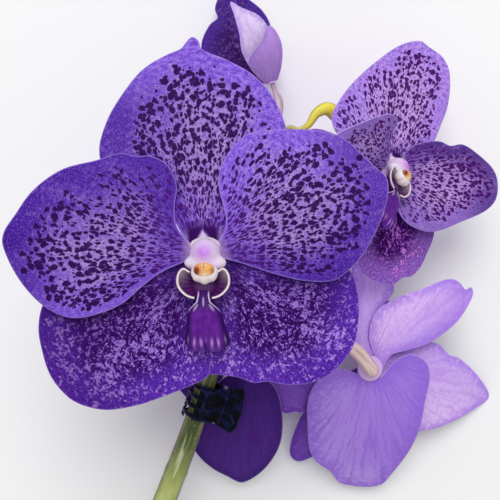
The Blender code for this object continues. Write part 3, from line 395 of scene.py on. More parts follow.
# Points along its coil, rings of its tube and corners of each ring; and the share of its half width that bends.
SPRING_STEPS = (70, 380, 16)
JAWS = {
    "clip_front_jaw": dict(side=1, ends=(-6.6, 6.6), teeth=(-5.4, -1.8, 1.8, 5.4), knuckles=(-3.6, 3.6)),
    "clip_back_jaw": dict(side=-1, ends=(-9.6, 6.0), teeth=(-7.2, -3.6, 0.0, 3.6), knuckles=(-5.7, 5.7)),
}


def linear(hex_colour):
    """A linear colour from sRGB hex: v / 12.92 below 0.04045, and ((v + 0.055) / 1.055) ** 2.4 above."""
    parts = [int(hex_colour[i : i + 2], 16) / 255 for i in (1, 3, 5)]
    return tuple(v / 12.92 if v <= 0.04045 else ((v + 0.055) / 1.055) ** 2.4 for v in parts)


def rgba(colour):
    """A node's colour, from sRGB hex or from a linear triple."""
    return (*(linear(colour) if isinstance(colour, str) else colour), 1.0)


def unit(vector):
    """A vector, or rows of them, at length 1."""
    vector = np.asarray(vector, float)
    return vector / np.maximum(np.linalg.norm(vector, axis=-1, keepdims=True), 1e-12)


def smooth(value, low=0.0, high=1.0):
    """Smooth step t * t * (3 - 2 * t), where t goes from 0 at low to 1 at high."""
    t = np.clip((value - low) / (high - low), 0.0, 1.0)
    return t * t * (3 - 2 * t)


def bump(value, centre, width):
    """Bell curve exp(-((value - centre) / width) ** 2)."""
    return np.exp(-(((value - centre) / width) ** 2))


def blend(first, last, start, end, at):
    """Straight blend from first, at start, to last, at end."""
    return first * (end - at) / (end - start) + last * (at - start) / (end - start)


def turns(count):
    """Angles at equal steps round a circle."""
    return np.arange(count) * 2 * math.pi / count


def curve_through(points, count):
    """Evenly spaced points on a smooth curve through the given ones (a centripetal Catmull-Rom curve)."""
    given = np.asarray(points, float)
    given = np.vstack([2 * given[0] - given[1], given, 2 * given[-1] - given[-2]])
    steps = np.linalg.norm(np.diff(given, axis=0), axis=1)
    knots = np.concatenate([[0.0], np.cumsum(np.sqrt(steps))])
    fine = []
    for i in range(1, len(given) - 2):
        at = np.linspace(knots[i], knots[i + 1], CURVE_STEPS, endpoint=False)[:, None]
        sides = [blend(given[j], given[j + 1], knots[j], knots[j + 1], at) for j in (i - 1, i, i + 1)]
        before = blend(sides[0], sides[1], knots[i - 1], knots[i + 1], at)
        after = blend(sides[1], sides[2], knots[i], knots[i + 2], at)
        fine.append(blend(before, after, knots[i], knots[i + 1], at))
    return even(np.vstack([*fine, given[-2:-1]]), count)


def even(line, count=RIM_SAMPLES):
    """The same line in evenly spaced points."""
    lengths = np.concatenate([[0.0], np.cumsum(np.linalg.norm(np.diff(line, axis=0), axis=1))])
    wanted = np.linspace(0.0, lengths[-1], count)
    return np.column_stack([np.interp(wanted, lengths, axis) for axis in line.T])


def bloom_axes(facing, up):
    """Columns x, y, z of a frame whose z faces one way and whose y is as near as can be to up."""
    z = unit(facing)
    y = np.asarray(up, float)
    y = unit(y - (y @ z) * z)
    return np.column_stack([np.cross(y, z), y, z])


def from_bloom(points, bloom):
    """Points of a bloom's own frame, in the working frame: hub + axes times the point."""
    return points @ bloom_axes(bloom.facing, bloom.up).T + bloom.hub


# Meshes


def outward(points, faces):
    """A closed surface's faces, all turned round if its volume, the sum of p0 . (p1 x p2) / 6, is negative."""
    volume = 0.0
    for group in faces:
        corners = points[group]
        for k in range(1, group.shape[1] - 1):
            volume += (corners[:, 0] * np.cross(corners[:, k], corners[:, k + 1])).sum()
    return faces if volume > 0 else [group[:, ::-1] for group in faces]


def make_object(name, points, faces, materials, face_materials=None, uvs=None, attributes=None):
    """An object at the origin whose mesh has these faces and points, in mm of the working frame."""
    faces = outward(points, faces)
    mesh = bpy.data.meshes.new(name)
    mesh.from_pydata((points - ORIGIN) * MM, [], [face for group in faces for face in group.tolist()])
    for surface in materials:
        mesh.materials.append(surface)
    if face_materials is not None:
        mesh.polygons.foreach_set("material_index", face_materials.astype(np.int32))
    corners = np.zeros(len(mesh.loops), np.int32)
    mesh.loops.foreach_get("vertex_index", corners)
    for uv_name, values in (uvs or {}).items():
        mesh.uv_layers.new(name=uv_name).uv.foreach_set("vector", values[corners].astype(np.float32).ravel())
    for key, values in (attributes or {}).items():
        mesh.attributes.new(key, "FLOAT", "POINT").data.foreach_set("value", values.astype(np.float32).ravel())
    mesh.polygons.foreach_set("use_smooth", np.ones(len(mesh.polygons), bool))
    mesh.update()
    obj = bpy.data.objects.new(name, mesh)
    bpy.context.scene.collection.objects.link(obj)
    return obj


def sheet_faces(rows, columns):
    """Quads of a sheet's front, its back and its rim, where the last row is one point on each side.

    Points are numbered row by row, first those of the front and then those of the back.
    """
    body = np.arange((rows - 1) * columns).reshape(rows - 1, columns)
    tip = body.size
    back = tip + 1
    quads = np.stack([body[:-1, :-1], body[:-1, 1:], body[1:, 1:], body[1:, :-1]], -1).reshape(-1, 4)
    fan = np.stack([body[-1, :-1], body[-1, 1:], np.full(columns - 1, tip)], -1)
    first, last = body[:, 0], body[:, -1]
    edge = np.concatenate([body[0], last[1:], [tip], first[:0:-1]])
    after = np.roll(edge, -1)
    rim = np.stack([edge, edge + back, after + back, after], -1)
    return quads, fan, quads[:, ::-1] + back, fan[:, ::-1] + back, rim


def shell_faces(rows, columns):
    """Faces of a closed shell: a grid, the same one turned round for its other face, and a strip between."""
    body = np.arange(rows * columns).reshape(rows, columns)
    quads = np.stack([body[:-1, :-1], body[:-1, 1:], body[1:, 1:], body[1:, :-1]], -1).reshape(-1, 4)
    edge = np.concatenate([body[0, :-1], body[:-1, -1], body[-1, :0:-1], body[:0:-1, 0]])
    after = np.roll(edge, -1)
    strip = np.stack([edge, edge + body.size, after + body.size, after], -1)
    return [quads, quads[:, ::-1] + body.size, strip]


def grid_normals(points):
    """Unit normals of a grid of points: the cross of its steps along a row and from row to row."""
    normals = unit(np.cross(np.gradient(points, axis=1), np.gradient(points, axis=0)))
    normals[-1] = normals[-2].mean(0)
    return unit(normals)


def tube_faces(rings, around):
    """Quads between rings of points and a fan at each end, whose centre points come last."""
    body = np.arange(rings * around).reshape(rings, around)
    after = np.roll(body, -1, axis=1)
    quads = np.stack([body[:-1], after[:-1], after[1:], body[1:]], -1).reshape(-1, 4)
    start = np.stack([after[0], body[0], np.full(around, body.size)], -1)
    end = np.stack([body[-1], after[-1], np.full(around, body.size + 1)], -1)
    return quads, start, end


def path_frames(line, axis=None):
    """Unit tangents of a line, and two unit vectors across it: on a coil, the first lies along its radius.

    A line that isn't a coil takes the normal of the plane it lies nearest to for an axis.
    """
    tangents = unit(np.gradient(line, axis=0))
    if axis is None:
        axis = np.linalg.svd(line - line.mean(0))[2][-1]
    side = unit(np.cross(tangents, axis))
    return tangents, side, np.cross(tangents, side)


# Tepals


def ladder(outline, along):
    """Flat places on rungs between an outline's sides: b runs out along both sides to the tip, and a across.

    Each rung is bowed along the midrib, so that the rungs meet it at even steps.
    """
    edge = curve_through(outline, RIM_SAMPLES)
    tip = (edge @ along).argmax()
    sides = [even(edge[: tip + 1]), even(edge[tip:][::-1])]
    marks = np.linspace(0.0, 1.0, RIM_SAMPLES)
    start, reach = (edge[0] + edge[-1]) @ along / 2, edge[tip] @ along

    def place(a, b):
        first, last = (np.column_stack([np.interp(b, marks, axis) for axis in side.T]) for side in sides)
        bow = start + (reach - start) * b - (first + last) @ along / 2
        return first + a[:, None] * (last - first) + (4 * a * (1 - a) * bow)[:, None] * along

    return place


def relief(wave, crease, side, out, reach, a, b):
    """Height on a tepal: waves and a frill along both edges, a keel behind the tip, a groove and low swells.

    wave * s ** 3 * sin(pi b) * sin(5 pi b) at the edges, with s from -1 to 1 across; a frill 0.22 mm high at
    the very edge; a keel whose section is a bell 4 mm wide, that rises over the last quarter; a groove 1.4 mm
    wide on the midrib that fades toward the tip; and swells 0.3 mm high and 16 to 20 mm long.
    """
    across = 2.0 * a - 1.0
    share = np.clip(out / reach, 0.0, 1.0)
    ripple = wave * across**3 * np.sin(math.pi * b) * np.sin(RIPPLES * math.pi * b)
    frill = 0.22 * np.abs(across) ** 6 * np.sin(math.pi * b) * np.sin(17 * b + 3 * across)
    keel = crease * bump(side, 0.0, 4.0) * smooth(share, 0.72, 0.98)
    groove = -0.45 * bump(side, 0.0, 1.4) * (1 - smooth(share, 0.3, 0.8)) * smooth(share, 0.05, 0.2)
    swell = 0.3 * np.sin(side / 5.1 + 0.7) * np.sin(out / 6.3 + 1.1) * smooth(share, 0.15, 0.4)
    return ripple + frill + keel + groove + swell * (1 - np.abs(across) ** 4)


def midrib_axes(degrees):
    """Flat unit vectors along a midrib, (cos m, sin m), and across it to the right, (sin m, -cos m)."""
    angle = math.radians(degrees)
    return np.array([math.cos(angle), math.sin(angle)]), np.array([math.sin(angle), -math.cos(angle)])


def bent_surface(kind, form, bloom, look):
    """A tepal whose species outline is bent along its midrib, cupped across it and rolled about it.

    Along the midrib it is an arc, from slope lift to lift + bend at the tip; across it is an arc too, from
    -cup to cup; and the whole turns about the midrib by roll.
    """
    outline = np.array(OUTLINES[kind])
    along, across = midrib_axes(MIDRIBS[kind])
    reach = (outline @ along).max() * form.length
    half_width = np.ptp(outline @ across) * form.width / 2
    place = ladder(outline, along)
    turn = math.radians(MIDRIBS[kind]) + math.radians(form.turn)
    layer = PETAL_LAYER if kind.endswith("petal") else 0.0

    def surface(a, b):
        flat = place(a, b)
        side = flat @ across * form.width
        beyond = np.maximum(flat @ along - TEPAL_FLAT, 0.0) * form.length
        root = np.minimum(flat @ along, TEPAL_FLAT)
        lift, curl = math.radians(form.lift), math.radians(form.bend or 0.01) / reach
        slope = lift + curl * beyond
        y = root + (np.sin(slope) - math.sin(lift)) / curl
        z = (math.cos(lift) - np.cos(slope)) / curl
        curve = math.radians(form.cup or 0.01) / half_width
        raised = (1 - np.cos(curve * side)) / curve + relief(form.wave, look.crease, side, beyond, reach, a, b)
        x = np.sin(curve * side) / curve
        y = y - raised * np.sin(slope)
        z = z + raised * np.cos(slope)
        twist = math.radians(form.roll) * np.clip(beyond / ROLL_REACH, 0.0, 1.0)
        x, z = x * np.cos(twist) - z * np.sin(twist), x * np.sin(twist) + z * np.cos(twist)
        right = x * math.sin(turn) + y * math.cos(turn)
        up = -x * math.cos(turn) + y * math.sin(turn)
        return from_bloom(bloom.size * np.column_stack([right, up, z + layer]), bloom)

    return surface


def draped_surface(kind, drape, bloom, look):
    """A tepal drawn in plan from above the spray, with its base drawn in to its place round the column.

    Its height over the plan is start * out + (end - start) * out ** 2 / (2 * reach) + roll * side +
    cup * side ** 2 / (2 * half width), with the slopes' tangents. The base's share of the way is
    (1 - b) ** 1.5.
    """
    along, across = midrib_axes(drape.midrib)
    outline = np.array(drape.outline)
    reach = (outline @ along).max()
    half_width = np.ptp(outline @ across) / 2
    place = ladder(outline, along)
    angles = (drape.lift, drape.lift + drape.bend, drape.roll, drape.cup)
    start, end, roll, cup = (math.tan(math.radians(angle)) for angle in angles)
    axes = bloom_axes(bloom.facing, bloom.up)
    layer = PETAL_LAYER if kind.endswith("petal") else 0.0
    room = bloom.size + ROOT_ROOM * (1 - bloom.size)
    root = room * np.array([(*corner, layer) for corner in (OUTLINES[kind][0], OUTLINES[kind][-1])])
    ends = np.array([(*outline[0], 0.0), (*outline[-1], 0.0)]) @ axes
    if np.linalg.norm(root[::-1] - ends) < np.linalg.norm(root - ends):
        root = root[::-1]
    upward = 1.0 if axes[2, 2] > 0 else -1.0

    def draped(a, b):
        flat = place(a, b)
        out, side = flat @ along, flat @ across
        z = start * out + (end - start) * out * np.abs(out) / (2 * reach)
        z = z + roll * side + cup * side**2 / (2 * half_width)
        z = z + upward * relief(upward * drape.wave, look.crease, side, out, reach, a, b) * min(1.0, reach / 30)
        return np.column_stack([flat, z]) @ axes + (0.0, 0.0, layer * bloom.size)

    def surface(a, b):
        base = root[0] + a[:, None] * (root[1] - root[0])
        return from_bloom(draped(a, b) + (1 - b[:, None]) ** 1.5 * (base - draped(a, 0 * b)), bloom)

    return surface


def edge_distance(flat, edge):
    """Distance of each flat place from a broken line: the least over its segments of the nearest point's."""
    starts, steps = edge[:-1], np.diff(edge, axis=0)
    lengths = np.maximum((steps**2).sum(1), 1e-12)
    offset = flat[:, None, :] - starts[None]
    at = np.clip((offset * steps[None]).sum(2) / lengths[None], 0.0, 1.0)
    return np.sqrt((((offset - at[..., None] * steps[None])) ** 2).sum(2).min(1))


def tepal_object(name, kind, bloom, look, skins, settings):
    """One tepal: a closed shell round its middle surface, thinner toward the rim, with its marks' places."""
    form = bloom.tepals[kind]
    make = draped_surface if isinstance(form, Drape) else bent_surface
    surface = make(kind, form, bloom, look)
    rows, columns = bloom.grid[0] + 1, bloom.grid[1] + 1
    # Rows and columns crowd toward the tip and the edges.
    line = np.linspace(0.0, 1.0, rows)
    out_steps = line + 0.12 * np.sin(math.pi * line) * line
    steps = np.linspace(-1.0, 1.0, columns)
    side_steps = 0.5 + 0.5 * (steps + 0.12 * np.sin(math.pi * steps))
    b, a = np.meshgrid(out_steps, side_steps, indexing="ij")
    middle = surface(a.ravel(), b.ravel()).reshape(rows, columns, 3)
    normals = grid_normals(middle)
    facing = np.asarray(bloom.hub) + 30.0 * bloom.size * unit(bloom.facing)
    if ((facing - middle) * normals).sum(2).mean() < 0:
        middle, normals = middle[:, ::-1], -normals[:, ::-1]
    # Flat coordinates: from the middle of the base to the tip, and across to the right.
    base, tip = middle[0].mean(0), middle[-1, 0]
    along = unit(tip - base)
    across = unit(np.cross(along, normals.mean((0, 1))))
    flat = np.stack([(middle - base) @ across, (middle - base) @ along], -1)
    edge = np.vstack([flat[:, 0], flat[::-1, -1]])
    rim = edge_distance(flat.reshape(-1, 2), edge).reshape(rows, columns)
    share = flat[..., 1] / np.linalg.norm(tip - base)
    sideways = np.clip(flat[..., 0] / np.abs(flat[..., 0]).max(), -1.0, 1.0)
    rightness = smooth(sideways, -0.7, 0.7)
    tipness = smooth(share, 0.6, 0.95)
    values = {}
    # Plain margins, and painted shade that darkens the face at its left, its right and its tip.
    for key, (left, right, end) in (("clear", look.clear), ("deep", look.deep)):
        values[key] = (left + (right - left) * rightness) * (1 - tipness) + end * tipness
    clear = values["clear"] * (0.15 + 0.85 * smooth(share, 0.1, 0.5))
    central = bump(sideways, look.axis, 0.55)
    ink = look.ink * smooth(rim / clear, 0.2, 1.5) * (0.55 + 0.45 * central)
    pale = smooth(rim, 0.0, 13.0 * bloom.size) * (0.35 + 0.65 * central) * smooth(1.35 - share, 0.25, 0.85)
    fan = np.arctan2(flat[..., 0], flat[..., 1] + VEIN_ORIGIN)
    veins = np.stack([fan * VEIN_RADIUS, np.hypot(flat[..., 0], flat[..., 1] + VEIN_ORIGIN)], -1)
    half = (settings.rim_thickness + (settings.thickness - settings.rim_thickness) * smooth(rim, 0, 5)) / MM / 2
    two_faces = np.stack([middle + normals * half[..., None], middle - normals * half[..., None]])

    def both(grid):
        """A grid's values in the order of sheet_faces: all but the last row, its tip, and the same again."""
        flat_rows = grid.reshape(rows, columns, -1)
        one = np.vstack([flat_rows[:-1].reshape(-1, flat_rows.shape[-1]), flat_rows[-1, :1]])
        return np.vstack([one, one])

    points = np.vstack([np.vstack([face[:-1].reshape(-1, 3), face[-1, :1]]) for face in two_faces])
    faces = sheet_faces(rows, columns)
    counts = [len(group) for group in faces]
    slots = np.repeat([0, 0, 1, 1, 1], counts)
    attributes = {"rim": both(rim), "out": both(share), "ink": both(ink), "deep": both(values["deep"])}
    attributes["pale"] = both(pale)
    attributes["patch"] = both(base_patch(kind, flat, share))
    return make_object(
        name, points, faces, [skins[look.front], skins[look.back]], slots, {"veins": both(veins)}, attributes
    )


def base_patch(kind, flat, share):
    """Dorsal sepal's base: dark lobes (1) beside a white wedge (-1) that narrows to a point 4.4 mm out."""
    if kind != "dorsal_sepal":
        return np.zeros_like(share)
    side, out = np.abs(flat[..., 0] + 0.3), flat[..., 1]
    wedge = 2.7 - 0.62 * out
    near = (1 - smooth(np.hypot(out, 0.6 * side), 4.4, 7.4)) * (1 - smooth(side, 3.7, 5.4))
    dark = smooth(side - wedge, -0.3, 0.5) * near
    return dark - smooth(wedge - side, -0.1, 0.7)


# Columns and lips


def exit_distance(centre, ball, directions):
    """How far a ray from the centre runs inside a ball stretched to three radii: its length's larger root."""
    at, radii = np.asarray(ball[0], float), np.asarray(ball[1], float)
    offset = (np.asarray(centre, float) - at) / radii
    heading = directions / radii
    a = (heading**2).sum(-1)
    half = heading @ offset
    inside = half**2 - a * ((offset**2).sum() - 1)
    return np.where(inside > 0, (np.sqrt(np.maximum(inside, 0)) - half) / a, 0.0)


def ball_directions(rings, around):
    """Unit directions on rings from just off +Z to just off -Z."""
    tilt = np.linspace(0.0, math.pi, rings + 2)[1:-1]
    turn = turns(around)
    tilt, turn = np.meshgrid(tilt, turn, indexing="ij")
    return np.stack([np.sin(tilt) * np.cos(turn), np.sin(tilt) * np.sin(turn), np.cos(tilt)], -1)


def blended_ball(centre, balls, sharpness=7.0, rings=60, around=72, dent=None):
    """A closed surface round a centre: along each direction its radius is the power mean of the balls' own.

    radius = sum(r ** n) ** (1 / n), so where one ball reaches farther the surface follows it, and the joins
    are filled. A dent takes a depth off round a direction, as a bell of the angle from it.
    """
    directions = ball_directions(rings, around)
    poles = np.array([[0.0, 0.0, 1.0], [0.0, 0.0, -1.0]])
    every = np.vstack([directions.reshape(-1, 3), poles])
    radius = sum(exit_distance(centre, ball, every) ** sharpness for ball in balls) ** (1 / sharpness)
    if dent:
        towards, depth, spread = dent
        angle = np.arccos(np.clip(every @ unit(towards), -1, 1))
        radius = radius - depth * bump(angle, 0.0, spread)
    return np.asarray(centre) + every * radius[:, None], tube_faces(rings, around)


def lip_to_bloom(points, bloom):
    """A lip's points, folded up about LIP_HINGE by the bloom's lip_fold, at the bloom's size and place."""
    fold = -math.radians(bloom.lip_fold)
    turn = np.array([[1, 0, 0], [0, math.cos(fold), -math.sin(fold)], [0, math.sin(fold), math.cos(fold)]])
    moved = LIP_FOLDED_BY if bloom.lip_fold else 0.0
    return from_bloom(bloom.size * ((points - LIP_HINGE) @ turn.T + LIP_HINGE + moved), bloom)


def column_objects(name, bloom, finishes):
    """The column's body with its wings, the cap at its end, the anther in its socket, and the bloom's base."""
    points, faces = blended_ball(COLUMN_CENTRE, COLUMN_BALLS, sharpness=9.0, rings=64, around=96)
    blush = 0.95 * bump(np.hypot(points[:, 0] * 0.6, points[:, 1] * 0.7 - 0.6), 0.0, 1.7) + 0.12
    shade = 0.3 * smooth(-points[:, 2], -6.5, -1.0)
    body = make_object(
        f"{name}_column_body", from_bloom(points * bloom.size, bloom), faces, [finishes["column"]],
        attributes={"blush": blush, "shade": shade},
    )
    socket = np.asarray(ANTHER_BALL[0]) - np.asarray(CAP_BALL[0]) + (0, 0, 1.6)
    points, faces = blended_ball(CAP_BALL[0], [CAP_BALL], rings=64, around=88, dent=(socket, 0.7, 0.5))
    lobes = np.cos(7 * np.arctan2(points[:, 0] - 0.3, -(points[:, 1] + 4.5)))
    scallop = 0.18 * lobes * smooth(-points[:, 1], 5, 7)
    points[:, 1] -= scallop
    cream = smooth(-points[:, 1], 4.5, 7.0)
    cap = make_object(
        f"{name}_column_cap", from_bloom(points * bloom.size, bloom), faces, [finishes["column"]],
        attributes={"blush": 0.25 * smooth(points[:, 1], -4.2, -2.4), "shade": 0.35 * cream},
    )
    points, faces = blended_ball(ANTHER_BALL[0], [ANTHER_BALL], rings=40, around=56)
    side, up = points[:, 0] - ANTHER_BALL[0][0], points[:, 1] - ANTHER_BALL[0][1]
    # Two small teeth at the top, and a cleft between the anther's halves below them.
    points[:, 2] += 0.35 * bump(np.abs(side), 0.45, 0.25) * bump(up, 1.1, 0.35)
    points[:, 2] -= 0.25 * bump(side, 0.0, 0.3) * smooth(up, -1.0, 1.2)
    rust_and_cleft_shade = 1.5 * bump(side, -2.0, 0.85) * bump(up, -0.3, 1.2) + 0.6 * bump(side, 2.3, 0.5) * bump(up, -0.2, 0.9)
    # Painted shade: a dark red-brown line in the cleft between the teeth.
    rust_and_cleft_shade = np.minimum(rust_and_cleft_shade + 0.5 * bump(side, 0.0, 0.18) * bump(up, 1.2, 0.8), 1.0)
    teeth = bump(np.abs(side), 0.42, 0.2) * bump(up, 1.35, 0.5)
    pale = np.minimum(bump(side, 0.3, 1.2) * bump(up, -1.5, 0.75) + teeth, 1.0)
    anther = make_object(
        f"{name}_anther", from_bloom(points * bloom.size, bloom), faces, [finishes["anther"]],
        attributes={"rust_and_cleft_shade": rust_and_cleft_shade, "pale": pale},
    )
    points, faces = blended_ball(BASE_BALL[0], [BASE_BALL], rings=20, around=48)
    base = make_object(
        f"{name}_flower_base", from_bloom(points * bloom.size, bloom), faces, [finishes["column"]],
        attributes={"blush": np.full(len(points), 0.55), "shade": np.zeros(len(points))},
    )
    return [body, cap, anther, base]


def tongue_middle(a, b):
    """The lip's middle lobe: half width and height follow tables along it, and ridges run along its top.

    Across it, with s from -1 to 1: a flat top inside |s| < 0.6, flanks that drop by 2.2 mm outside it, low
    ridges, keels at the narrow end, and an end that swells to each side of a notch.
    """
    s = 2.0 * a - 1.0
    lean = 0.9 * smooth(b, 0.1, 1.0)
    width = np.interp(b, TONGUE_STATIONS, TONGUE_HALF_WIDTHS)
    notch = 1.5 * bump(s, -0.05, 0.16) * smooth(b, 0.7, 1.0)
    rounding = 1.7 * s**4 * smooth(b, 0.4, 1.0)
    y = TONGUE_START - TONGUE_LENGTH * b + notch + rounding
    z = np.interp(b, TONGUE_STATIONS, TONGUE_HEIGHTS)
    shoulders = smooth(b, 0.2, 0.4)
    z = z - 2.2 * smooth(np.abs(s), 0.6, 1.0) * shoulders - 0.5 * s**2 * shoulders
    z = z + 0.16 * np.cos(7.5 * math.pi * s) * smooth(b, 0.3, 0.5) * (1 - smooth(np.abs(s), 0.75, 1.0))
    z = z + 0.5 * bump(np.abs(s), 0.45, 0.3) * bump(b, 0.93, 0.09)
    z = z - 0.4 * bump(s, -0.03, 0.05) * smooth(b, 0.25, 0.4)
    z = z + 0.45 * keels(s, b)
    return np.column_stack([s * width + lean, y, z])


def keels(s, b):
    """Pale keels at the tongue's narrow end: two to each side that spread with b, and a short middle one."""
    reach = smooth(b, 0.02, 0.1) * (1 - smooth(b, 0.3, 0.42))
    inner = smooth(b, 0.24, 0.28) * (1 - smooth(b, 0.3, 0.38))
    short = smooth(b, 0.14, 0.18) * (1 - smooth(b, 0.24, 0.3))
    outer = 0.85 * bump(np.abs(s), 0.92, 0.03) * reach + 0.5 * bump(np.abs(s), 0.6, 0.025) * inner
    return outer + 0.5 * bump(s, 0.0, 0.03) * short


def ear_middle(side):
    """One of the lip's side lobes: an ear like half a bowl, z = low + rise * b ** 2, ridged at its root."""
    edge = curve_through(SIDE_LOBE[1:-1], RIM_SAMPLES)
    base = np.array([SIDE_LOBE[0], SIDE_LOBE[-1]])

    def surface(a, b):
        rim = np.column_stack([np.interp(a, np.linspace(0, 1, len(edge)), edge[:, k]) for k in (0, 1)])
        root = base[0] + a[:, None] * (base[1] - base[0])
        swell = 1.0 + 0.06 * np.sin(math.pi * b)
        flat = root + (b * swell)[:, None] * (rim - root)
        z = SIDE_LOBE_LOW + SIDE_LOBE_RISE * b**2 + 0.12 * np.cos(14 * math.pi * a) * (1 - b)
        return np.column_stack([side * flat[:, 0], flat[:, 1], z])

    return surface


def lip_sheet(name, surface, bloom, rows, columns, half, material, attributes):
    """A closed shell round one lobe of the lip. half: half its thickness in mm at each a and b."""
    b, a = np.meshgrid(np.linspace(0, 1, rows), np.linspace(0, 1, columns), indexing="ij")
    middle = surface(a.ravel(), b.ravel()).reshape(rows, columns, 3)
    normals = unit(np.cross(np.gradient(middle, axis=1), np.gradient(middle, axis=0)))
    if normals[..., 2].mean() < 0:
        middle, normals, a, b = middle[:, ::-1], -normals[:, ::-1], a[:, ::-1], b[:, ::-1]
    offset = normals * half(a, b)[..., None]
    points = np.vstack([(middle + offset).reshape(-1, 3), (middle - offset).reshape(-1, 3)])
    values = {key: np.tile(make(a, b).ravel(), 2) for key, make in attributes.items()}
    placed = lip_to_bloom(points, bloom)
    return make_object(name, placed, shell_faces(rows, columns), [material], attributes=values)


def lip_objects(name, bloom, finishes):
    """The lip's tongue, two ears, and the claw and spur under them."""
    tongue = lip_sheet(
        f"{name}_lip_tongue", tongue_middle, bloom, 110, 81,
        lambda a, b: 0.25 + 0.45 * (1 - np.abs(2 * a - 1) ** 3), finishes["lip"],
        {
            # Pale keels, and painted highlights on the ridges before the end.
            "pale": lambda a, b: keels(2 * a - 1, b) + 0.4 * painted_ridge_highlights(2 * a - 1, b),
            "dark": lambda a, b: np.maximum(
                smooth(np.abs(2 * a - 1), 0.55, 0.85) * smooth(b, 0.25, 0.4), 0.85 * (1 - smooth(b, 0.22, 0.42))
            ),
        },
    )
    ears = [
        lip_sheet(
            f"{name}_lip_{word}_ear", ear_middle(side), bloom, 40, 72,
            lambda a, b: 0.2 + 0.04 * smooth(b, 0.85, 0.97), finishes["ear"],
            {
                "pale": lambda a, b: np.maximum(
                    smooth(b, 0.93, 0.97), 0.65 * bump(a, 0.08, 0.3) * smooth(b, 0.4, 0.95)
                ),
                "stripe": lambda a, b: 0.5 + 0.5 * np.cos(15 * math.pi * a + 1.5 * b),
            },
        )
        for word, side in (("left", -1), ("right", 1))
    ]
    points, faces = blended_ball(LIP_BALLS[0][0], LIP_BALLS, rings=28, around=36)
    claw = make_object(
        f"{name}_lip_claw", lip_to_bloom(points, bloom), faces, [finishes["ear"]],
        attributes={"pale": np.zeros(len(points)), "stripe": 0.5 + 0.5 * np.cos(6.5 * points[:, 0])},
    )
    return [tongue, *ears, claw]


def painted_ridge_highlights(s, b):
    """Painted highlights: pale streaks on the tongue's ridges, over the swelling before its end."""
    return smooth(np.cos(7.5 * math.pi * s), 0.7, 1.0) * bump(b, 0.86, 0.07)


# Stem and stalks


def tube_object(name, points, stations, around, material, shape=None, attributes=None, axis=None):
    """A round tube on a smooth line through x, y, z and radius: centre + radius * (side cos t + over sin t).

    axis is given for a coil, and side then lies along the coil's radius. shape(t, s) is the share by which
    the tube's radius grows at angle t and share s of its length. Its ends are rounded.
    """
    line = curve_through(points, stations)
    centres, radii = line[:, :3], line[:, 3]
    tangents, side, over = path_frames(centres, axis)
    share = np.linspace(0.0, 1.0, stations)
    turn = turns(around)
    t, s = np.meshgrid(turn, share)
    radius = radii[:, None] * (1 + (shape(t, s) if shape else 0.0))
    ring = np.cos(t)[..., None] * side[:, None] + np.sin(t)[..., None] * over[:, None]
    body = centres[:, None] + radius[..., None] * ring
    tips = [centres[0] - tangents[0] * 0.15 * radii[0], centres[-1] + tangents[-1] * 0.15 * radii[-1]]
    length = np.linalg.norm(np.diff(centres, axis=0), axis=1).sum()
    surface = np.vstack([body.reshape(-1, 3), tips])
    values = {"along": np.append(s.ravel(), [0.0, 1.0])}
    values["high"] = np.append(ring[..., 2].ravel(), [0.0, 0.0])
    values["left"] = np.append(-ring[..., 0].ravel(), [0.0, 0.0])
    for key, make in (attributes or {}).items():
        values[key] = np.append(make(t, s).ravel(), [0.0, 0.0])
    uv = np.column_stack([np.append((t * radii.mean()).ravel(), [0, 0]), values["along"] * length])
    faces = tube_faces(stations, around)
    return make_object(name, surface, faces, [material], uvs={"bark": uv}, attributes=values)


def stalk_points(name, bloom):
    """A flower stalk's points, ended square on the back of its bloom."""
    facing = unit(bloom.facing)
    back = np.asarray(bloom.hub) - facing * STALK_END * bloom.size
    before = back - facing * STALK_END_RUN
    radius = STALK_END_RADIUS * bloom.size
    return [*STALKS[name], (*before, radius), (*back, radius)]


def bract_object(name, points, material):
    """A dry scale that clasps a stalk's foot: a cone's side over 250 degrees, its edge cut to a point.

    At angle t and share s of its length the radius is 1.04 R (1 - 0.45 s), and its length there is
    L cos(t / 2.9) ** 1.3.
    """
    foot = np.asarray(points[0][:3])
    lean = unit(np.asarray(points[1][:3]) - foot)
    side = unit(np.cross(lean, (0.3, 0.2, 1.0)))
    over = np.cross(lean, side)
    rows, columns = 18, 30
    s, t = np.meshgrid(np.linspace(0, 1, rows), np.linspace(-2.2, 2.2, columns), indexing="ij")
    radius = BRACT_RADIUS * (1 - 0.45 * s) * 1.04
    height = s * BRACT_LENGTH * np.maximum(np.cos(t / 2.9), 0.05) ** 1.3
    ring = np.cos(t)[..., None] * side + np.sin(t)[..., None] * over
    middle = foot + radius[..., None] * ring + height[..., None] * lean
    half_wall = ring * BRACT_HALF_WALL
    shell = np.vstack([(middle + half_wall).reshape(-1, 3), (middle - half_wall).reshape(-1, 3)])
    uv = np.tile(np.column_stack([(t * BRACT_RADIUS).ravel(), height.ravel()]), (2, 1))
    return make_object(name, shell, shell_faces(rows, columns), [material], uvs={"bark": uv})


def stem_swell(t, s):
    """Share by which the stem's radius grows: flat flutes, and a low ring at each of three joints."""
    rings = bump(s, 0.17, 0.006) + bump(s, 0.36, 0.006) + bump(s, 0.58, 0.006)
    return 0.018 * np.cos(5 * t + 4 * s) + 0.012 * np.sin(9 * t - 31 * s) + 0.05 * rings


def ovary_ribs(t, s):
    """Share by which a stalk's radius grows: six rounded ribs that twist, on its last half under the bloom."""
    return 0.09 * np.abs(np.cos(3 * t + 5 * s)) * smooth(s, 0.5, 0.75) - 0.02


# Claw clip


def from_clip(points):
    """Points of the clip's frame, in the working frame."""
    along = unit(CLIP_ALONG)
    up = np.array([0.0, 0.0, 1.0])
    return points @ bloom_axes(up - (up @ along) * along, along).T + CLIP_ON_STEM


def level(value):
    """A function of the share of a bar's length that stays at one value."""
    return lambda s: np.full_like(s, value)


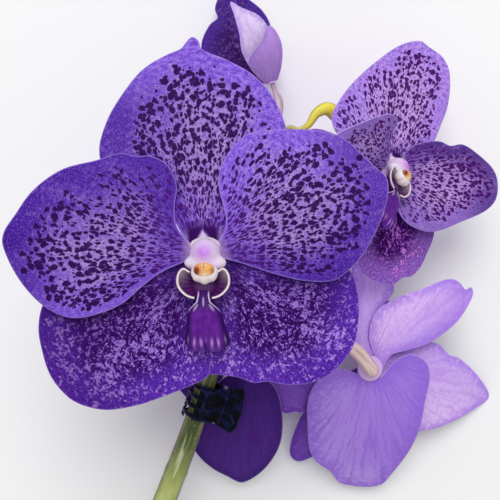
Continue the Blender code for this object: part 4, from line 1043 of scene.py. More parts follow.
def bar_on_path(path, centre_y, half_width, half_thick, stations, around=32, power=4.0):
    """A bar with a rounded oblong section carried along a path in the clip's x and z, as points and faces.

    Section: |y / w| ** n + |h / t| ** n = 1. centre_y, half_width and half_thick are functions of the share
    of its length.
    """
    line = even(path, stations)
    tangent = unit(np.gradient(line, axis=0))
    normal = np.column_stack([-tangent[:, 1], tangent[:, 0]])
    share = np.linspace(0.0, 1.0, stations)
    turn = turns(around)
    c, s = np.cos(turn), np.sin(turn)
    y = np.sign(c) * np.abs(c) ** (2 / power)
    h = np.sign(s) * np.abs(s) ** (2 / power)
    offset = h[None] * half_thick(share)[:, None]
    x = line[:, :1] + offset * normal[:, :1]
    z = line[:, 1:] + offset * normal[:, 1:]
    body = np.stack([x, centre_y(share)[:, None] + y[None] * half_width(share)[:, None], z], -1)
    ends = np.array([[line[k, 0], centre_y(share)[k], line[k, 1]] for k in (0, -1)])
    return np.vstack([body.reshape(-1, 3), ends]), tube_faces(stations, around)


def rod_on_hinge(start, end, radius, bevel=0.25, around=40):
    """A round rod along the hinge: rings of radius * (cos t, sin t) round it, with a quarter-round bevel."""
    corner = np.linspace(0, math.pi / 2, 5)
    rise = bevel * (1 - np.cos(corner))
    pull = bevel * (1 - np.sin(corner))
    y = np.concatenate([start + rise, end - rise[::-1]])
    r = np.concatenate([radius - pull, radius - pull[::-1]])
    turn = turns(around)
    ring = np.stack([HINGE_X + r[:, None] * np.cos(turn), y[:, None] + 0 * turn, r[:, None] * np.sin(turn)], -1)
    ends = np.array([[HINGE_X, start, 0.0], [HINGE_X, end, 0.0]])
    return np.vstack([ring.reshape(-1, 3), ends]), tube_faces(len(y), around)


def joined_groups(pieces):
    """Points and faces of several closed pieces as one list of each."""
    points, faces, first = [], [], 0
    for piece_points, piece_faces in pieces:
        points.append(piece_points)
        faces += [group + first for group in outward(piece_points, piece_faces)]
        first += len(piece_points)
    return np.vstack(points), faces


def jaw_object(name, side, ends, teeth, knuckles, material):
    """One jaw: a plate bent along JAW_SHAPE, curved teeth at one end, and two knuckles on webs under it.

    The plate and each tooth are a bar with a rounded section carried along the bent path.
    """
    path = curve_through(JAW_SHAPE, 240) * (1.0, side)
    low, high = ends
    centre, half = (low + high) / 2, (high - low) / 2
    root = int(np.argmax(path[:, 0] > -1.2))
    tab = path[root:]

    def plate_width(s):
        """Half width: full at the teeth's roots, pulled in at the hinge, and rounded off at the tab's end."""
        waist = 1 - 0.1 * bump(s, 0.5, 0.12)
        return half * waist * np.sqrt(np.clip(1 - smooth(s, 0.86, 1.02) ** 2 * 0.75, 0.02, 1))

    def plate_thick(s):
        """Half thickness: a bead along both ends."""
        return JAW_PLATE / 2 * (0.92 + 0.5 * bump(s, 0.03, 0.035) + 0.45 * bump(s, 0.95, 0.04))

    pieces = [bar_on_path(tab, level(centre), plate_width, plate_thick, 110, around=48, power=7.0)]
    for y in teeth:
        tooth = path[: root + 12]
        pieces.append(
            bar_on_path(
                tooth, level(y),
                lambda s: TOOTH_WIDTH / 2 * (0.42 + 0.58 * smooth(s, 0.0, 0.5)) * np.sqrt(smooth(s, -0.02, 0.05)),
                lambda s: JAW_PLATE / 2 * (0.6 + 0.42 * smooth(s, 0.0, 0.4)) * np.sqrt(smooth(s, -0.02, 0.05)),
                70, around=24, power=3.0,
            )
        )
    first_rib = len(pieces)
    # Ribs: one from each tooth over the crown, and a slanted one on the thumb tab.
    steps = np.gradient(path, axis=0)
    skin = path + unit(np.column_stack([-steps[:, 1], steps[:, 0]])) * side * JAW_PLATE / 2
    crown, thumb = (skin[(path[:, 0] > start) & (path[:, 0] < end)] for start, end in (CROWN_RIBS, THUMB_RIB))
    runs = [(crown, y, y) for y in teeth] + [(thumb, high - 2.2, low + 4.0)]
    for line, start, end in runs:
        pieces.append(
            bar_on_path(
                line, lambda s, start=start, end=end: start + (end - start) * s,
                *(lambda s, r=r: r * np.sqrt(np.clip(1 - (2 * s - 1) ** 6, 0.03, 1)) for r in RIB_HALVES),
                40, around=20, power=2.4,
            )
        )
    # Two ribs run across the teeth's roots and along the valley over the hinge.
    for place, height in CROSS_RIBS:
        station = int(np.argmax(path[:, 0] > place))
        step = path[station + 1] - path[station - 1]
        out = unit(np.array([-step[1], step[0]])) * side
        x, z = path[station] + out * (JAW_PLATE / 2 - 0.1)
        turn = turns(20)
        y = np.linspace(low + 0.9, high - 0.9, 24)
        taper = np.sqrt(np.clip(1 - np.abs(np.linspace(-1, 1, 24)) ** 8, 0.02, 1)) * height
        ring = np.stack(
            [x + taper[:, None] * np.cos(turn), y[:, None] + 0 * turn, z + taper[:, None] * np.sin(turn)], -1
        )
        middle = np.array([[x, y[0], z], [x, y[-1], z]])
        pieces.append((np.vstack([ring.reshape(-1, 3), middle]), tube_faces(24, 20)))
    for y in knuckles:
        pieces.append(rod_on_hinge(y - KNUCKLE_WIDTH / 2, y + KNUCKLE_WIDTH / 2, KNUCKLE_RADIUS))
        web = np.array([[HINGE_X, 0.0], [HINGE_X, side * 2.6]])
        pieces.append(bar_on_path(web, level(y), level(KNUCKLE_WIDTH / 2), level(WEB_HALF), 6, power=8.0))
    points, faces = joined_groups(pieces)
    # Painted highlights: the ribs, the teeth and the plate's sides.
    raised = np.repeat([k >= first_rib for k in range(len(pieces))], [len(piece[0]) for piece in pieces])
    sides = smooth(np.abs(points[:, 1] - centre), half - 0.7, half)
    painted_clip_highlight = np.minimum(0.6 * raised + sides + 0.4 * (points[:, 0] < -1.4), 1.0)
    return make_object(name, from_clip(points), faces, [material], attributes={"painted_clip_highlight": painted_clip_highlight})


def spring_object(name, material):
    """The coil spring: a wire round the pin, with a leg out to each tab.

    It runs on r cos u, w (2 s - 1), r sin u, where s goes from 0 to 1 and u is the start plus 2 pi n s.
    """
    coil_points, stations, around = SPRING_STEPS
    share = np.linspace(0.0, 1.0, coil_points)
    u = math.radians(SPRING_START) + share * 2 * math.pi * SPRING_TURNS
    rise = SPRING_HALF_WIDTH * (2 * share - 1)
    coil = np.column_stack([SPRING_RADIUS * np.cos(u), rise, SPRING_RADIUS * np.sin(u)])
    front = [(x, -SPRING_HALF_WIDTH, z) for x, z in SPRING_LEG[::-1]]
    back = [(x, SPRING_HALF_WIDTH, -z) for x, z in SPRING_LEG]
    points = from_clip(np.vstack([front, coil, back]) + (HINGE_X, 0.0, 0.0))
    line = np.column_stack([points, np.full(len(points), SPRING_WIRE)])
    return tube_object(name, line, stations, around, material, axis=unit(CLIP_ALONG))


# Materials


def add(tree, kind, settings=None, inputs=None):
    """Adds a node. settings are its properties; inputs are its sockets' values or links, by name or number."""
    new = tree.nodes.new(kind)
    for key, value in (settings or {}).items():
        setattr(new, key, value)
    for key, value in (inputs or {}).items():
        if isinstance(value, bpy.types.NodeSocket):
            tree.links.new(value, new.inputs[key])
        else:
            new.inputs[key].default_value = value
    return new


def start_material(name, roughness, specular=0.5):
    """A material with a Principled shader of constant roughness, its tree, and that shader."""
    material = bpy.data.materials.new(name)
    material.use_nodes = True
    tree = material.node_tree
    shader = tree.nodes["Principled BSDF"]
    shader.inputs["Roughness"].default_value = roughness
    shader.inputs["Specular IOR Level"].default_value = specular
    return material, tree, shader


# Settings that many nodes share.
COLOUR_MIX = {"data_type": "RGBA"}
STEP = {"interpolation_type": "SMOOTHSTEP"}
FLAT_NOISE = {"noise_dimensions": "2D"}
MULTIPLY = {"operation": "MULTIPLY"}
SUBTRACT = {"operation": "SUBTRACT"}
MULTIPLY_ADD = {"operation": "MULTIPLY_ADD"}
PLUS = {"operation": "ADD"}
LARGER = {"operation": "MAXIMUM"}
CLAMPED_ADD = {"operation": "ADD", "use_clamp": True}
CLAMPED_MULTIPLY = {"operation": "MULTIPLY", "use_clamp": True}
CLAMPED_MULTIPLY_ADD = {"operation": "MULTIPLY_ADD", "use_clamp": True}


def vein_coordinates(tree, wobble):
    """The piece's vein coordinates in mm, pushed about by up to wobble mm, so that no mark is regular."""
    veins = add(tree, "ShaderNodeUVMap", {"uv_map": "veins"}).outputs["UV"]
    noise = add(tree, "ShaderNodeTexNoise", FLAT_NOISE, {0: veins, "Scale": 0.32, "Detail": 1.0})
    centred = add(tree, "ShaderNodeVectorMath", SUBTRACT, {0: noise.outputs["Color"], 1: (0.5, 0.5, 0.5)})
    inputs = {0: centred.outputs[0], 1: (2 * wobble, 2 * wobble, 0.0), 2: veins}
    return veins, add(tree, "ShaderNodeVectorMath", MULTIPLY_ADD, inputs).outputs[0]


def spots(tree, place, start, cell, stretch, radii, share, jitter):
    """Pigment spots: one in some cells of a given breadth in mm, longer along the veins, from a start.

    A cell holds a spot if a number of its own is under the share. The spot's radius lies between the two
    radii, in cells, and jitter is added to it, so that its outline is uneven and near spots join.
    """
    scaled = add(
        tree, "ShaderNodeVectorMath", MULTIPLY_ADD,
        {0: place, 1: (1 / cell, 1 / (cell * stretch), 0.0), 2: start},
    ).outputs[0]
    settings = {"voronoi_dimensions": "2D", "feature": "F1"}
    cells = add(tree, "ShaderNodeTexVoronoi", settings, {"Vector": scaled, "Scale": 1.0, "Randomness": 0.75})
    own = add(tree, "ShaderNodeSeparateColor", None, {0: cells.outputs["Color"]})
    radius = add(tree, "ShaderNodeMapRange", None, {0: own.outputs[0], 3: radii[0], 4: radii[1]}).outputs[0]
    radius = add(tree, "ShaderNodeMath", PLUS, {0: radius, 1: jitter}).outputs[0]
    spare = add(tree, "ShaderNodeMath", SUBTRACT, {0: share, 1: own.outputs[1]}).outputs[0]
    held = add(tree, "ShaderNodeMapRange", STEP, {0: spare, 1: -0.05, 2: 0.12}).outputs[0]
    radius = add(tree, "ShaderNodeMath", MULTIPLY, {0: radius, 1: held}).outputs[0]
    inside = add(tree, "ShaderNodeMath", SUBTRACT, {0: radius, 1: cells.outputs["Distance"]}).outputs[0]
    return add(tree, "ShaderNodeMapRange", STEP, {0: inside, 1: -0.01, 2: 0.09}).outputs[0]


def spotted_skin(name, margin, inner, spot, deep):
    """Inner skin of a sepal or petal: living tissue with a violet margin, a pale middle and dark spots.

    Its cells are too small to see, and scatter the light like fine satin: it is soft, not glossy. The spots
    are 1 to 4 mm long in rows along the veins, with smaller ones between them.
    """
    material, tree, shader = start_material(name, 0.5, 0.035)
    veins, place = vein_coordinates(tree, 0.55)
    ink, rim, light, shade, patch, out = (
        add(tree, "ShaderNodeAttribute", {"attribute_name": key}).outputs["Fac"]
        for key in ("ink", "rim", "pale", "deep", "patch", "out")
    )
    inputs = {0: veins, "Scale": 0.5, "Detail": 1.0, "Roughness": 0.5}
    rough = add(tree, "ShaderNodeTexNoise", FLAT_NOISE, inputs).outputs[0]
    jitter = add(tree, "ShaderNodeMapRange", None, {0: rough, 1: 0.2, 2: 0.8, 3: -0.1, 4: 0.1}).outputs[0]
    # Rows: the spots thin out along some veins, and reach farther toward the rim along others.
    drawn = add(tree, "ShaderNodeVectorMath", MULTIPLY, {0: veins, 1: (1.0, 0.3, 1.0)}).outputs[0]
    rows = add(tree, "ShaderNodeTexNoise", FLAT_NOISE, {0: drawn, "Scale": 0.2, "Detail": 2.0}).outputs[0]
    sway = add(tree, "ShaderNodeMapRange", None, {0: rows, 1: 0.3, 2: 0.7, 3: -0.3, 4: 0.3}).outputs[0]
    cover = add(tree, "ShaderNodeMath", PLUS, {0: ink, 1: sway}).outputs[0]
    share = add(tree, "ShaderNodeMapRange", None, {0: cover, 1: 0.16, 2: 0.9, 3: 0.0, 4: 1.1}).outputs[0]
    # The middling and small ones only fill in where the large ones are many.
    few = add(tree, "ShaderNodeMath", SUBTRACT, {0: share, 1: 0.24}).outputs[0]
    large = spots(tree, place, (0.0, 0.0, 0.0), 2.35, 1.35, (0.24, 0.4), share, jitter)
    middling = spots(tree, place, (7.3, 3.1, 0.0), 1.8, 1.6, (0.24, 0.4), few, jitter)
    small = spots(tree, place, (2.9, 8.7, 0.0), 1.2, 1.4, (0.2, 0.38), few, jitter)
    marks = add(tree, "ShaderNodeMath", LARGER, {0: large, 1: middling}).outputs[0]
    marks = add(tree, "ShaderNodeMath", LARGER, {0: marks, 1: small}).outputs[0]
    # Ground: the margin's violet pales toward the midrib, mottled by cells of about 1 mm.
    inputs = {0: veins, "Scale": 0.8, "Detail": 5.0, "Roughness": 0.68}
    mottle = add(tree, "ShaderNodeTexNoise", FLAT_NOISE, inputs).outputs[0]
    uneven = add(tree, "ShaderNodeMapRange", None, {0: mottle, 1: 0.3, 2: 0.7, 3: -0.3, 4: 0.3}).outputs[0]
    swept = add(tree, "ShaderNodeMath", MULTIPLY_ADD, {0: sway, 1: 0.6, 2: uneven}).outputs[0]
    pale = add(tree, "ShaderNodeMath", CLAMPED_ADD, {0: light, 1: swept}).outputs[0]
    ground = add(tree, "ShaderNodeMix", COLOUR_MIX, {0: pale, 6: rgba(margin), 7: rgba(inner)}).outputs[2]
    lift = add(tree, "ShaderNodeMapRange", None, {0: mottle, 1: 0.5, 2: 0.72, 3: 0.0, 4: 0.34}).outputs[0]
    ground = add(tree, "ShaderNodeMix", COLOUR_MIX, {0: lift, 6: ground, 7: rgba("#c9aef2")}).outputs[2]
    # Painted shade, from the tepal's shade attribute, darkens the ground toward the shade violet, less in its
    # pale middle; darker mottling does so too, at random.
    darker = add(tree, "ShaderNodeMapRange", None, {0: mottle, 1: 0.32, 2: 0.54, 3: 0.62, 4: 0.0}).outputs[0]
    outer = add(tree, "ShaderNodeMath", MULTIPLY_ADD, {0: pale, 1: -0.75, 2: 1.0}).outputs[0]
    shaded = add(tree, "ShaderNodeMath", MULTIPLY, {0: shade, 1: outer}).outputs[0]
    shaded = add(tree, "ShaderNodeMath", LARGER, {0: darker, 1: shaded}).outputs[0]
    ground = add(tree, "ShaderNodeMix", COLOUR_MIX, {0: shaded, 6: ground, 7: rgba(deep)}).outputs[2]
    # Cells show as grain of about 0.4 mm.
    grain = add(tree, "ShaderNodeTexNoise", FLAT_NOISE, {0: veins, "Scale": 2.4, "Detail": 2.0}).outputs[0]
    light = add(tree, "ShaderNodeMapRange", None, {0: grain, 1: 0.52, 2: 0.75, 3: 0.0, 4: 0.24}).outputs[0]
    ground = add(tree, "ShaderNodeMix", COLOUR_MIX, {0: light, 6: ground, 7: rgba("#b896f4")}).outputs[2]
    dim = add(tree, "ShaderNodeMapRange", None, {0: grain, 1: 0.5, 2: 0.3, 3: 0.0, 4: 0.45}).outputs[0]
    ground = add(tree, "ShaderNodeMix", COLOUR_MIX, {0: dim, 6: ground, 7: rgba("#4a1c92")}).outputs[2]
    # A painted highlight: a pale line along the very rim.
    thin = add(tree, "ShaderNodeMapRange", STEP, {0: rim, 1: 0.36, 2: 0.1, 3: 0.0, 4: 0.45}).outputs[0]
    ground = add(tree, "ShaderNodeMix", COLOUR_MIX, {0: thin, 6: ground, 7: rgba("#b79cf0")}).outputs[2]
    # Spots are violet near the base and darker farther out.
    tint = add(tree, "ShaderNodeMapRange", STEP, {0: out, 1: 0.1, 2: 0.4}).outputs[0]
    dark = add(tree, "ShaderNodeMix", COLOUR_MIX, {0: tint, 6: rgba("#4a1674"), 7: rgba(spot)}).outputs[2]
    strength = add(tree, "ShaderNodeMapRange", None, {0: mottle, 1: 0.45, 2: 0.75, 3: 1.0, 4: 0.93}).outputs[0]
    marks = add(tree, "ShaderNodeMath", MULTIPLY, {0: marks, 1: strength}).outputs[0]
    colour = add(tree, "ShaderNodeMix", COLOUR_MIX, {0: marks, 6: ground, 7: dark}).outputs[2]
    white = add(tree, "ShaderNodeMapRange", STEP, {0: out, 1: 0.09, 2: 0.0, 3: 0.0, 4: 0.75}).outputs[0]
    colour = add(tree, "ShaderNodeMix", COLOUR_MIX, {0: white, 6: colour, 7: rgba("#c5a4da")}).outputs[2]
    lobe = add(tree, "ShaderNodeMapRange", None, {0: patch, 1: 0.0, 2: 1.0}).outputs[0]
    colour = add(tree, "ShaderNodeMix", COLOUR_MIX, {0: lobe, 6: colour, 7: rgba("#36085a")}).outputs[2]
    wedge = add(tree, "ShaderNodeMapRange", None, {0: patch, 1: 0.0, 2: -1.0}).outputs[0]
    colour = add(tree, "ShaderNodeMix", COLOUR_MIX, {0: wedge, 6: colour, 7: rgba("#dcc4ea")}).outputs[2]
    tree.links.new(colour, shader.inputs["Base Color"])
    tissue_bump(tree, shader, veins, 0.05)
    return material


def netted_skin(name, ground, middle, margin, fleck, bright):
    """Inner skin of a lateral sepal: dark purple tissue, with pale flecks of 0.5 to 2.5 mm that form a net."""
    material, tree, shader = start_material(name, 0.5, 0.035)
    veins, place = vein_coordinates(tree, 0.8)
    ink, rim, out, light, shade = (
        add(tree, "ShaderNodeAttribute", {"attribute_name": key}).outputs["Fac"]
        for key in ("ink", "rim", "out", "pale", "deep")
    )
    drawn = add(tree, "ShaderNodeVectorMath", MULTIPLY, {0: place, 1: (1.0, 0.78, 1.0)}).outputs[0]
    clouds = {0: drawn, "Detail": 2.0, "Roughness": 0.55}
    broad = add(tree, "ShaderNodeTexNoise", FLAT_NOISE, {**clouds, "Scale": 0.62}).outputs[0]
    fine = add(tree, "ShaderNodeTexNoise", FLAT_NOISE, {**clouds, "Scale": 1.75}).outputs[0]
    sway = add(tree, "ShaderNodeTexNoise", FLAT_NOISE, {0: veins, "Scale": 0.1, "Detail": 1.0}).outputs[0]
    # Height of the pattern: broad patches broken up by finer ones, with more flecks where there is more ink.
    mixed = add(tree, "ShaderNodeMath", MULTIPLY_ADD, {0: fine, 1: 0.95, 2: broad}).outputs[0]
    raised = add(tree, "ShaderNodeMapRange", None, {0: ink, 1: 0.0, 2: 0.8, 3: -0.26, 4: -0.11}).outputs[0]
    swayed = add(tree, "ShaderNodeMapRange", None, {0: sway, 1: 0.3, 2: 0.7, 3: -0.08, 4: 0.08}).outputs[0]
    mixed = add(tree, "ShaderNodeMath", PLUS, {0: mixed, 1: raised}).outputs[0]
    mixed = add(tree, "ShaderNodeMath", PLUS, {0: mixed, 1: swayed}).outputs[0]
    marks = add(tree, "ShaderNodeMapRange", STEP, {0: mixed, 1: 0.85, 2: 0.98}).outputs[0]
    shine = add(tree, "ShaderNodeMapRange", STEP, {0: mixed, 1: 0.94, 2: 1.12}).outputs[0]
    flecks = add(tree, "ShaderNodeMix", COLOUR_MIX, {0: shine, 6: rgba(fleck), 7: rgba(bright)}).outputs[2]
    half_lit = add(tree, "ShaderNodeMapRange", STEP, {0: mixed, 1: 0.72, 2: 0.9, 3: 0.0, 4: 0.9}).outputs[0]
    base = add(tree, "ShaderNodeMix", COLOUR_MIX, {0: half_lit, 6: rgba(ground), 7: rgba(middle)}).outputs[2]
    outer = add(tree, "ShaderNodeMapRange", STEP, {0: light, 1: 0.8, 2: 0.0, 3: 0.0, 4: 0.75}).outputs[0]
    grain = add(tree, "ShaderNodeMapRange", None, {0: fine, 1: 0.3, 2: 0.7, 3: -0.6, 4: 0.6}).outputs[0]
    outer = add(tree, "ShaderNodeMath", CLAMPED_MULTIPLY_ADD, {0: outer, 1: grain, 2: outer}).outputs[0]
    base = add(tree, "ShaderNodeMix", COLOUR_MIX, {0: outer, 6: base, 7: rgba(margin)}).outputs[2]
    colour = add(tree, "ShaderNodeMix", COLOUR_MIX, {0: marks, 6: base, 7: flecks}).outputs[2]
    # The ground colour darkens it toward the base, and painted shade darkens it where the tepal's shade attribute
    # says.
    inward = add(tree, "ShaderNodeMapRange", STEP, {0: out, 1: 0.3, 2: 0.08, 3: 0.0, 4: 0.75}).outputs[0]
    darker = add(tree, "ShaderNodeMath", LARGER, {0: inward, 1: shade}).outputs[0]
    colour = add(tree, "ShaderNodeMix", COLOUR_MIX, {0: darker, 6: colour, 7: rgba(ground)}).outputs[2]
    # A painted highlight: a pale line along the very rim.
    thin = add(tree, "ShaderNodeMapRange", STEP, {0: rim, 1: 0.36, 2: 0.1, 3: 0.0, 4: 0.45}).outputs[0]
    colour = add(tree, "ShaderNodeMix", COLOUR_MIX, {0: thin, 6: colour, 7: rgba("#a88ce6")}).outputs[2]
    tree.links.new(colour, shader.inputs["Base Color"])
    tissue_bump(tree, shader, veins, 0.05)
    return material


def back_skin(name, pale, edge, vein, bright, edge_width):
    """Outer skin of a tepal: paler tissue, violet toward the rim, with thin pinkish veins along it."""
    material, tree, shader = start_material(name, 0.55, 0.035)
    veins, place = vein_coordinates(tree, 0.8)
    rim, shade = (
        add(tree, "ShaderNodeAttribute", {"attribute_name": key}).outputs["Fac"]
        for key in ("rim", "deep")
    )
    drawn = add(tree, "ShaderNodeVectorMath", MULTIPLY, {0: place, 1: (1.0, 0.08, 1.0)}).outputs[0]
    inputs = {0: drawn, "Scale": 0.55, "Detail": 3.0, "Roughness": 0.6}
    lines = add(tree, "ShaderNodeTexNoise", FLAT_NOISE, inputs).outputs[0]
    inputs = {0: veins, "Scale": 0.5, "Detail": 5.0, "Roughness": 0.6}
    mottle = add(tree, "ShaderNodeTexNoise", FLAT_NOISE, inputs).outputs[0]
    swept = add(tree, "ShaderNodeMapRange", None, {0: mottle, 1: 0.3, 2: 0.7, 3: -0.7, 4: 0.7}).outputs[0]
    outer = add(tree, "ShaderNodeMapRange", STEP, {0: rim, 1: edge_width, 2: 0.0, 3: 0.0, 4: 0.85}).outputs[0]
    toward = add(tree, "ShaderNodeMath", CLAMPED_ADD, {0: outer, 1: swept}).outputs[0]
    colour = add(tree, "ShaderNodeMix", COLOUR_MIX, {0: toward, 6: rgba(pale), 7: rgba(edge)}).outputs[2]
    lift = add(tree, "ShaderNodeMapRange", None, {0: mottle, 1: 0.5, 2: 0.72, 3: 0.0, 4: 0.4}).outputs[0]
    colour = add(tree, "ShaderNodeMix", COLOUR_MIX, {0: lift, 6: colour, 7: rgba(bright)}).outputs[2]
    streak = add(tree, "ShaderNodeMapRange", STEP, {0: lines, 1: 0.42, 2: 0.72, 3: 0.0, 4: 0.6}).outputs[0]
    colour = add(tree, "ShaderNodeMix", COLOUR_MIX, {0: streak, 6: colour, 7: rgba(vein)}).outputs[2]
    # Painted shade turns the face toward its edge violet where the tepal's shade attribute says.
    colour = add(tree, "ShaderNodeMix", COLOUR_MIX, {0: shade, 6: colour, 7: rgba(edge)}).outputs[2]
    # A painted highlight: a pale line along the very rim.
    thin = add(tree, "ShaderNodeMapRange", STEP, {0: rim, 1: 0.36, 2: 0.1, 3: 0.0, 4: 0.4}).outputs[0]
    colour = add(tree, "ShaderNodeMix", COLOUR_MIX, {0: thin, 6: colour, 7: rgba("#d6c0f4")}).outputs[2]
    # Cells show as grain of about 0.5 mm.
    grain = add(tree, "ShaderNodeTexNoise", FLAT_NOISE, {0: veins, "Scale": 2.0, "Detail": 2.0}).outputs[0]
    dim = add(tree, "ShaderNodeMapRange", None, {0: grain, 1: 0.5, 2: 0.3, 3: 0.0, 4: 0.35}).outputs[0]
    colour = add(tree, "ShaderNodeMix", COLOUR_MIX, {0: dim, 6: colour, 7: rgba(vein)}).outputs[2]
    tree.links.new(colour, shader.inputs["Base Color"])
    tissue_bump(tree, shader, veins, 0.08)
    return material


def tissue_bump(tree, shader, veins, height):
    """Low relief of soft tissue: veins about 2 mm apart along the vein coordinates, with finer grain."""
    drawn = add(tree, "ShaderNodeVectorMath", MULTIPLY, {0: veins, 1: (1.0, 0.16, 1.0)}).outputs[0]
    ridges = add(tree, "ShaderNodeTexNoise", FLAT_NOISE, {0: drawn, "Scale": 0.9, "Detail": 2.0}).outputs[0]
    grain = add(tree, "ShaderNodeTexNoise", FLAT_NOISE, {0: veins, "Scale": 2.2, "Detail": 2.0}).outputs[0]
    both = add(tree, "ShaderNodeMath", MULTIPLY_ADD, {0: grain, 1: 0.35, 2: ridges}).outputs[0]
    lifted = add(tree, "ShaderNodeBump", None, {"Strength": 0.6, "Distance": height * 4 * MM, "Height": both})
    tree.links.new(lifted.outputs[0], shader.inputs["Normal"])


def column_flesh():
    """Waxy flesh of the column: cream with a lilac blush, dense and smooth, so a little light goes into it."""
    material, tree, shader = start_material("orchid_column_flesh", 0.38, 0.45)
    blush, shade = (
        add(tree, "ShaderNodeAttribute", {"attribute_name": key}).outputs["Fac"]
        for key in ("blush", "shade")
    )
    inputs = {0: blush, 6: rgba("#efe3ee"), 7: rgba("#c37fe2")}
    colour = add(tree, "ShaderNodeMix", COLOUR_MIX, inputs).outputs[2]
    colour = add(tree, "ShaderNodeMix", COLOUR_MIX, {0: shade, 6: colour, 7: rgba("#e6d2b6")}).outputs[2]
    tree.links.new(colour, shader.inputs["Base Color"])
    shader.inputs["Subsurface Weight"].default_value = 0.25
    shader.inputs["Subsurface Scale"].default_value = 0.8 * MM
    return material


def anther_wax():
    """Waxy anther: orange, brushed with red-brown at its sides, and paler below, with painted shade in its cleft.
    """
    material, tree, shader = start_material("orchid_anther_wax", 0.34, 0.5)
    rust_and_cleft_shade, pale = (
        add(tree, "ShaderNodeAttribute", {"attribute_name": key}).outputs["Fac"]
        for key in ("rust_and_cleft_shade", "pale")
    )
    place = add(tree, "ShaderNodeTexCoord").outputs["Object"]
    grain = add(tree, "ShaderNodeTexNoise", None, {0: place, "Scale": 1100.0, "Detail": 3.0}).outputs[0]
    uneven = add(tree, "ShaderNodeMapRange", None, {0: grain, 1: 0.3, 2: 0.7, 3: 0.0, 4: 0.6}).outputs[0]
    inputs = {0: uneven, 6: rgba("#eeb469"), 7: rgba("#d48634")}
    colour = add(tree, "ShaderNodeMix", COLOUR_MIX, inputs).outputs[2]
    # Red-brown at the sides, and painted shade in the cleft between the teeth.
    colour = add(tree, "ShaderNodeMix", COLOUR_MIX, {0: rust_and_cleft_shade, 6: colour, 7: rgba("#7c1c06")}).outputs[2]
    colour = add(tree, "ShaderNodeMix", COLOUR_MIX, {0: pale, 6: colour, 7: rgba("#f1dcbc")}).outputs[2]
    tree.links.new(colour, shader.inputs["Base Color"])
    return material


def lip_flesh():
    """Fleshy lip tongue: dark violet, smooth, a little glossy, pale keels, painted ridge highlights, dark flanks.
    """
    material, tree, shader = start_material("orchid_lip_flesh", 0.4, 0.12)
    pale, dark = (
        add(tree, "ShaderNodeAttribute", {"attribute_name": key}).outputs["Fac"]
        for key in ("pale", "dark")
    )
    place = add(tree, "ShaderNodeTexCoord").outputs["Object"]
    cloud = add(tree, "ShaderNodeTexNoise", None, {0: place, "Scale": 350.0, "Detail": 3.0}).outputs[0]
    uneven = add(tree, "ShaderNodeMapRange", None, {0: cloud, 1: 0.3, 2: 0.7}).outputs[0]
    inputs = {0: uneven, 6: rgba("#4e117c"), 7: rgba("#6a249c")}
    colour = add(tree, "ShaderNodeMix", COLOUR_MIX, inputs).outputs[2]
    colour = add(tree, "ShaderNodeMix", COLOUR_MIX, {0: dark, 6: colour, 7: rgba("#34095c")}).outputs[2]
    # Pale keels, and painted highlights on the ridges by the end.
    colour = add(tree, "ShaderNodeMix", COLOUR_MIX, {0: pale, 6: colour, 7: rgba("#dcc4ee")}).outputs[2]
    tree.links.new(colour, shader.inputs["Base Color"])
    return material


def ear_flesh():
    """Lobes at the lip's sides: a cream rim round a dark purple hollow with darker stripes."""
    material, tree, shader = start_material("orchid_ear_flesh", 0.38, 0.45)
    pale, stripe = (
        add(tree, "ShaderNodeAttribute", {"attribute_name": key}).outputs["Fac"]
        for key in ("pale", "stripe")
    )
    lines = add(tree, "ShaderNodeMapRange", STEP, {0: stripe, 1: 0.45, 2: 0.85}).outputs[0]
    inputs = {0: lines, 6: rgba("#5c1c6e"), 7: rgba("#400e50")}
    colour = add(tree, "ShaderNodeMix", COLOUR_MIX, inputs).outputs[2]
    colour = add(tree, "ShaderNodeMix", COLOUR_MIX, {0: pale, 6: colour, 7: rgba("#ecdde0")}).outputs[2]
    tree.links.new(colour, shader.inputs["Base Color"])
    shader.inputs["Subsurface Weight"].default_value = 0.15
    shader.inputs["Subsurface Scale"].default_value = 0.6 * MM
    return material


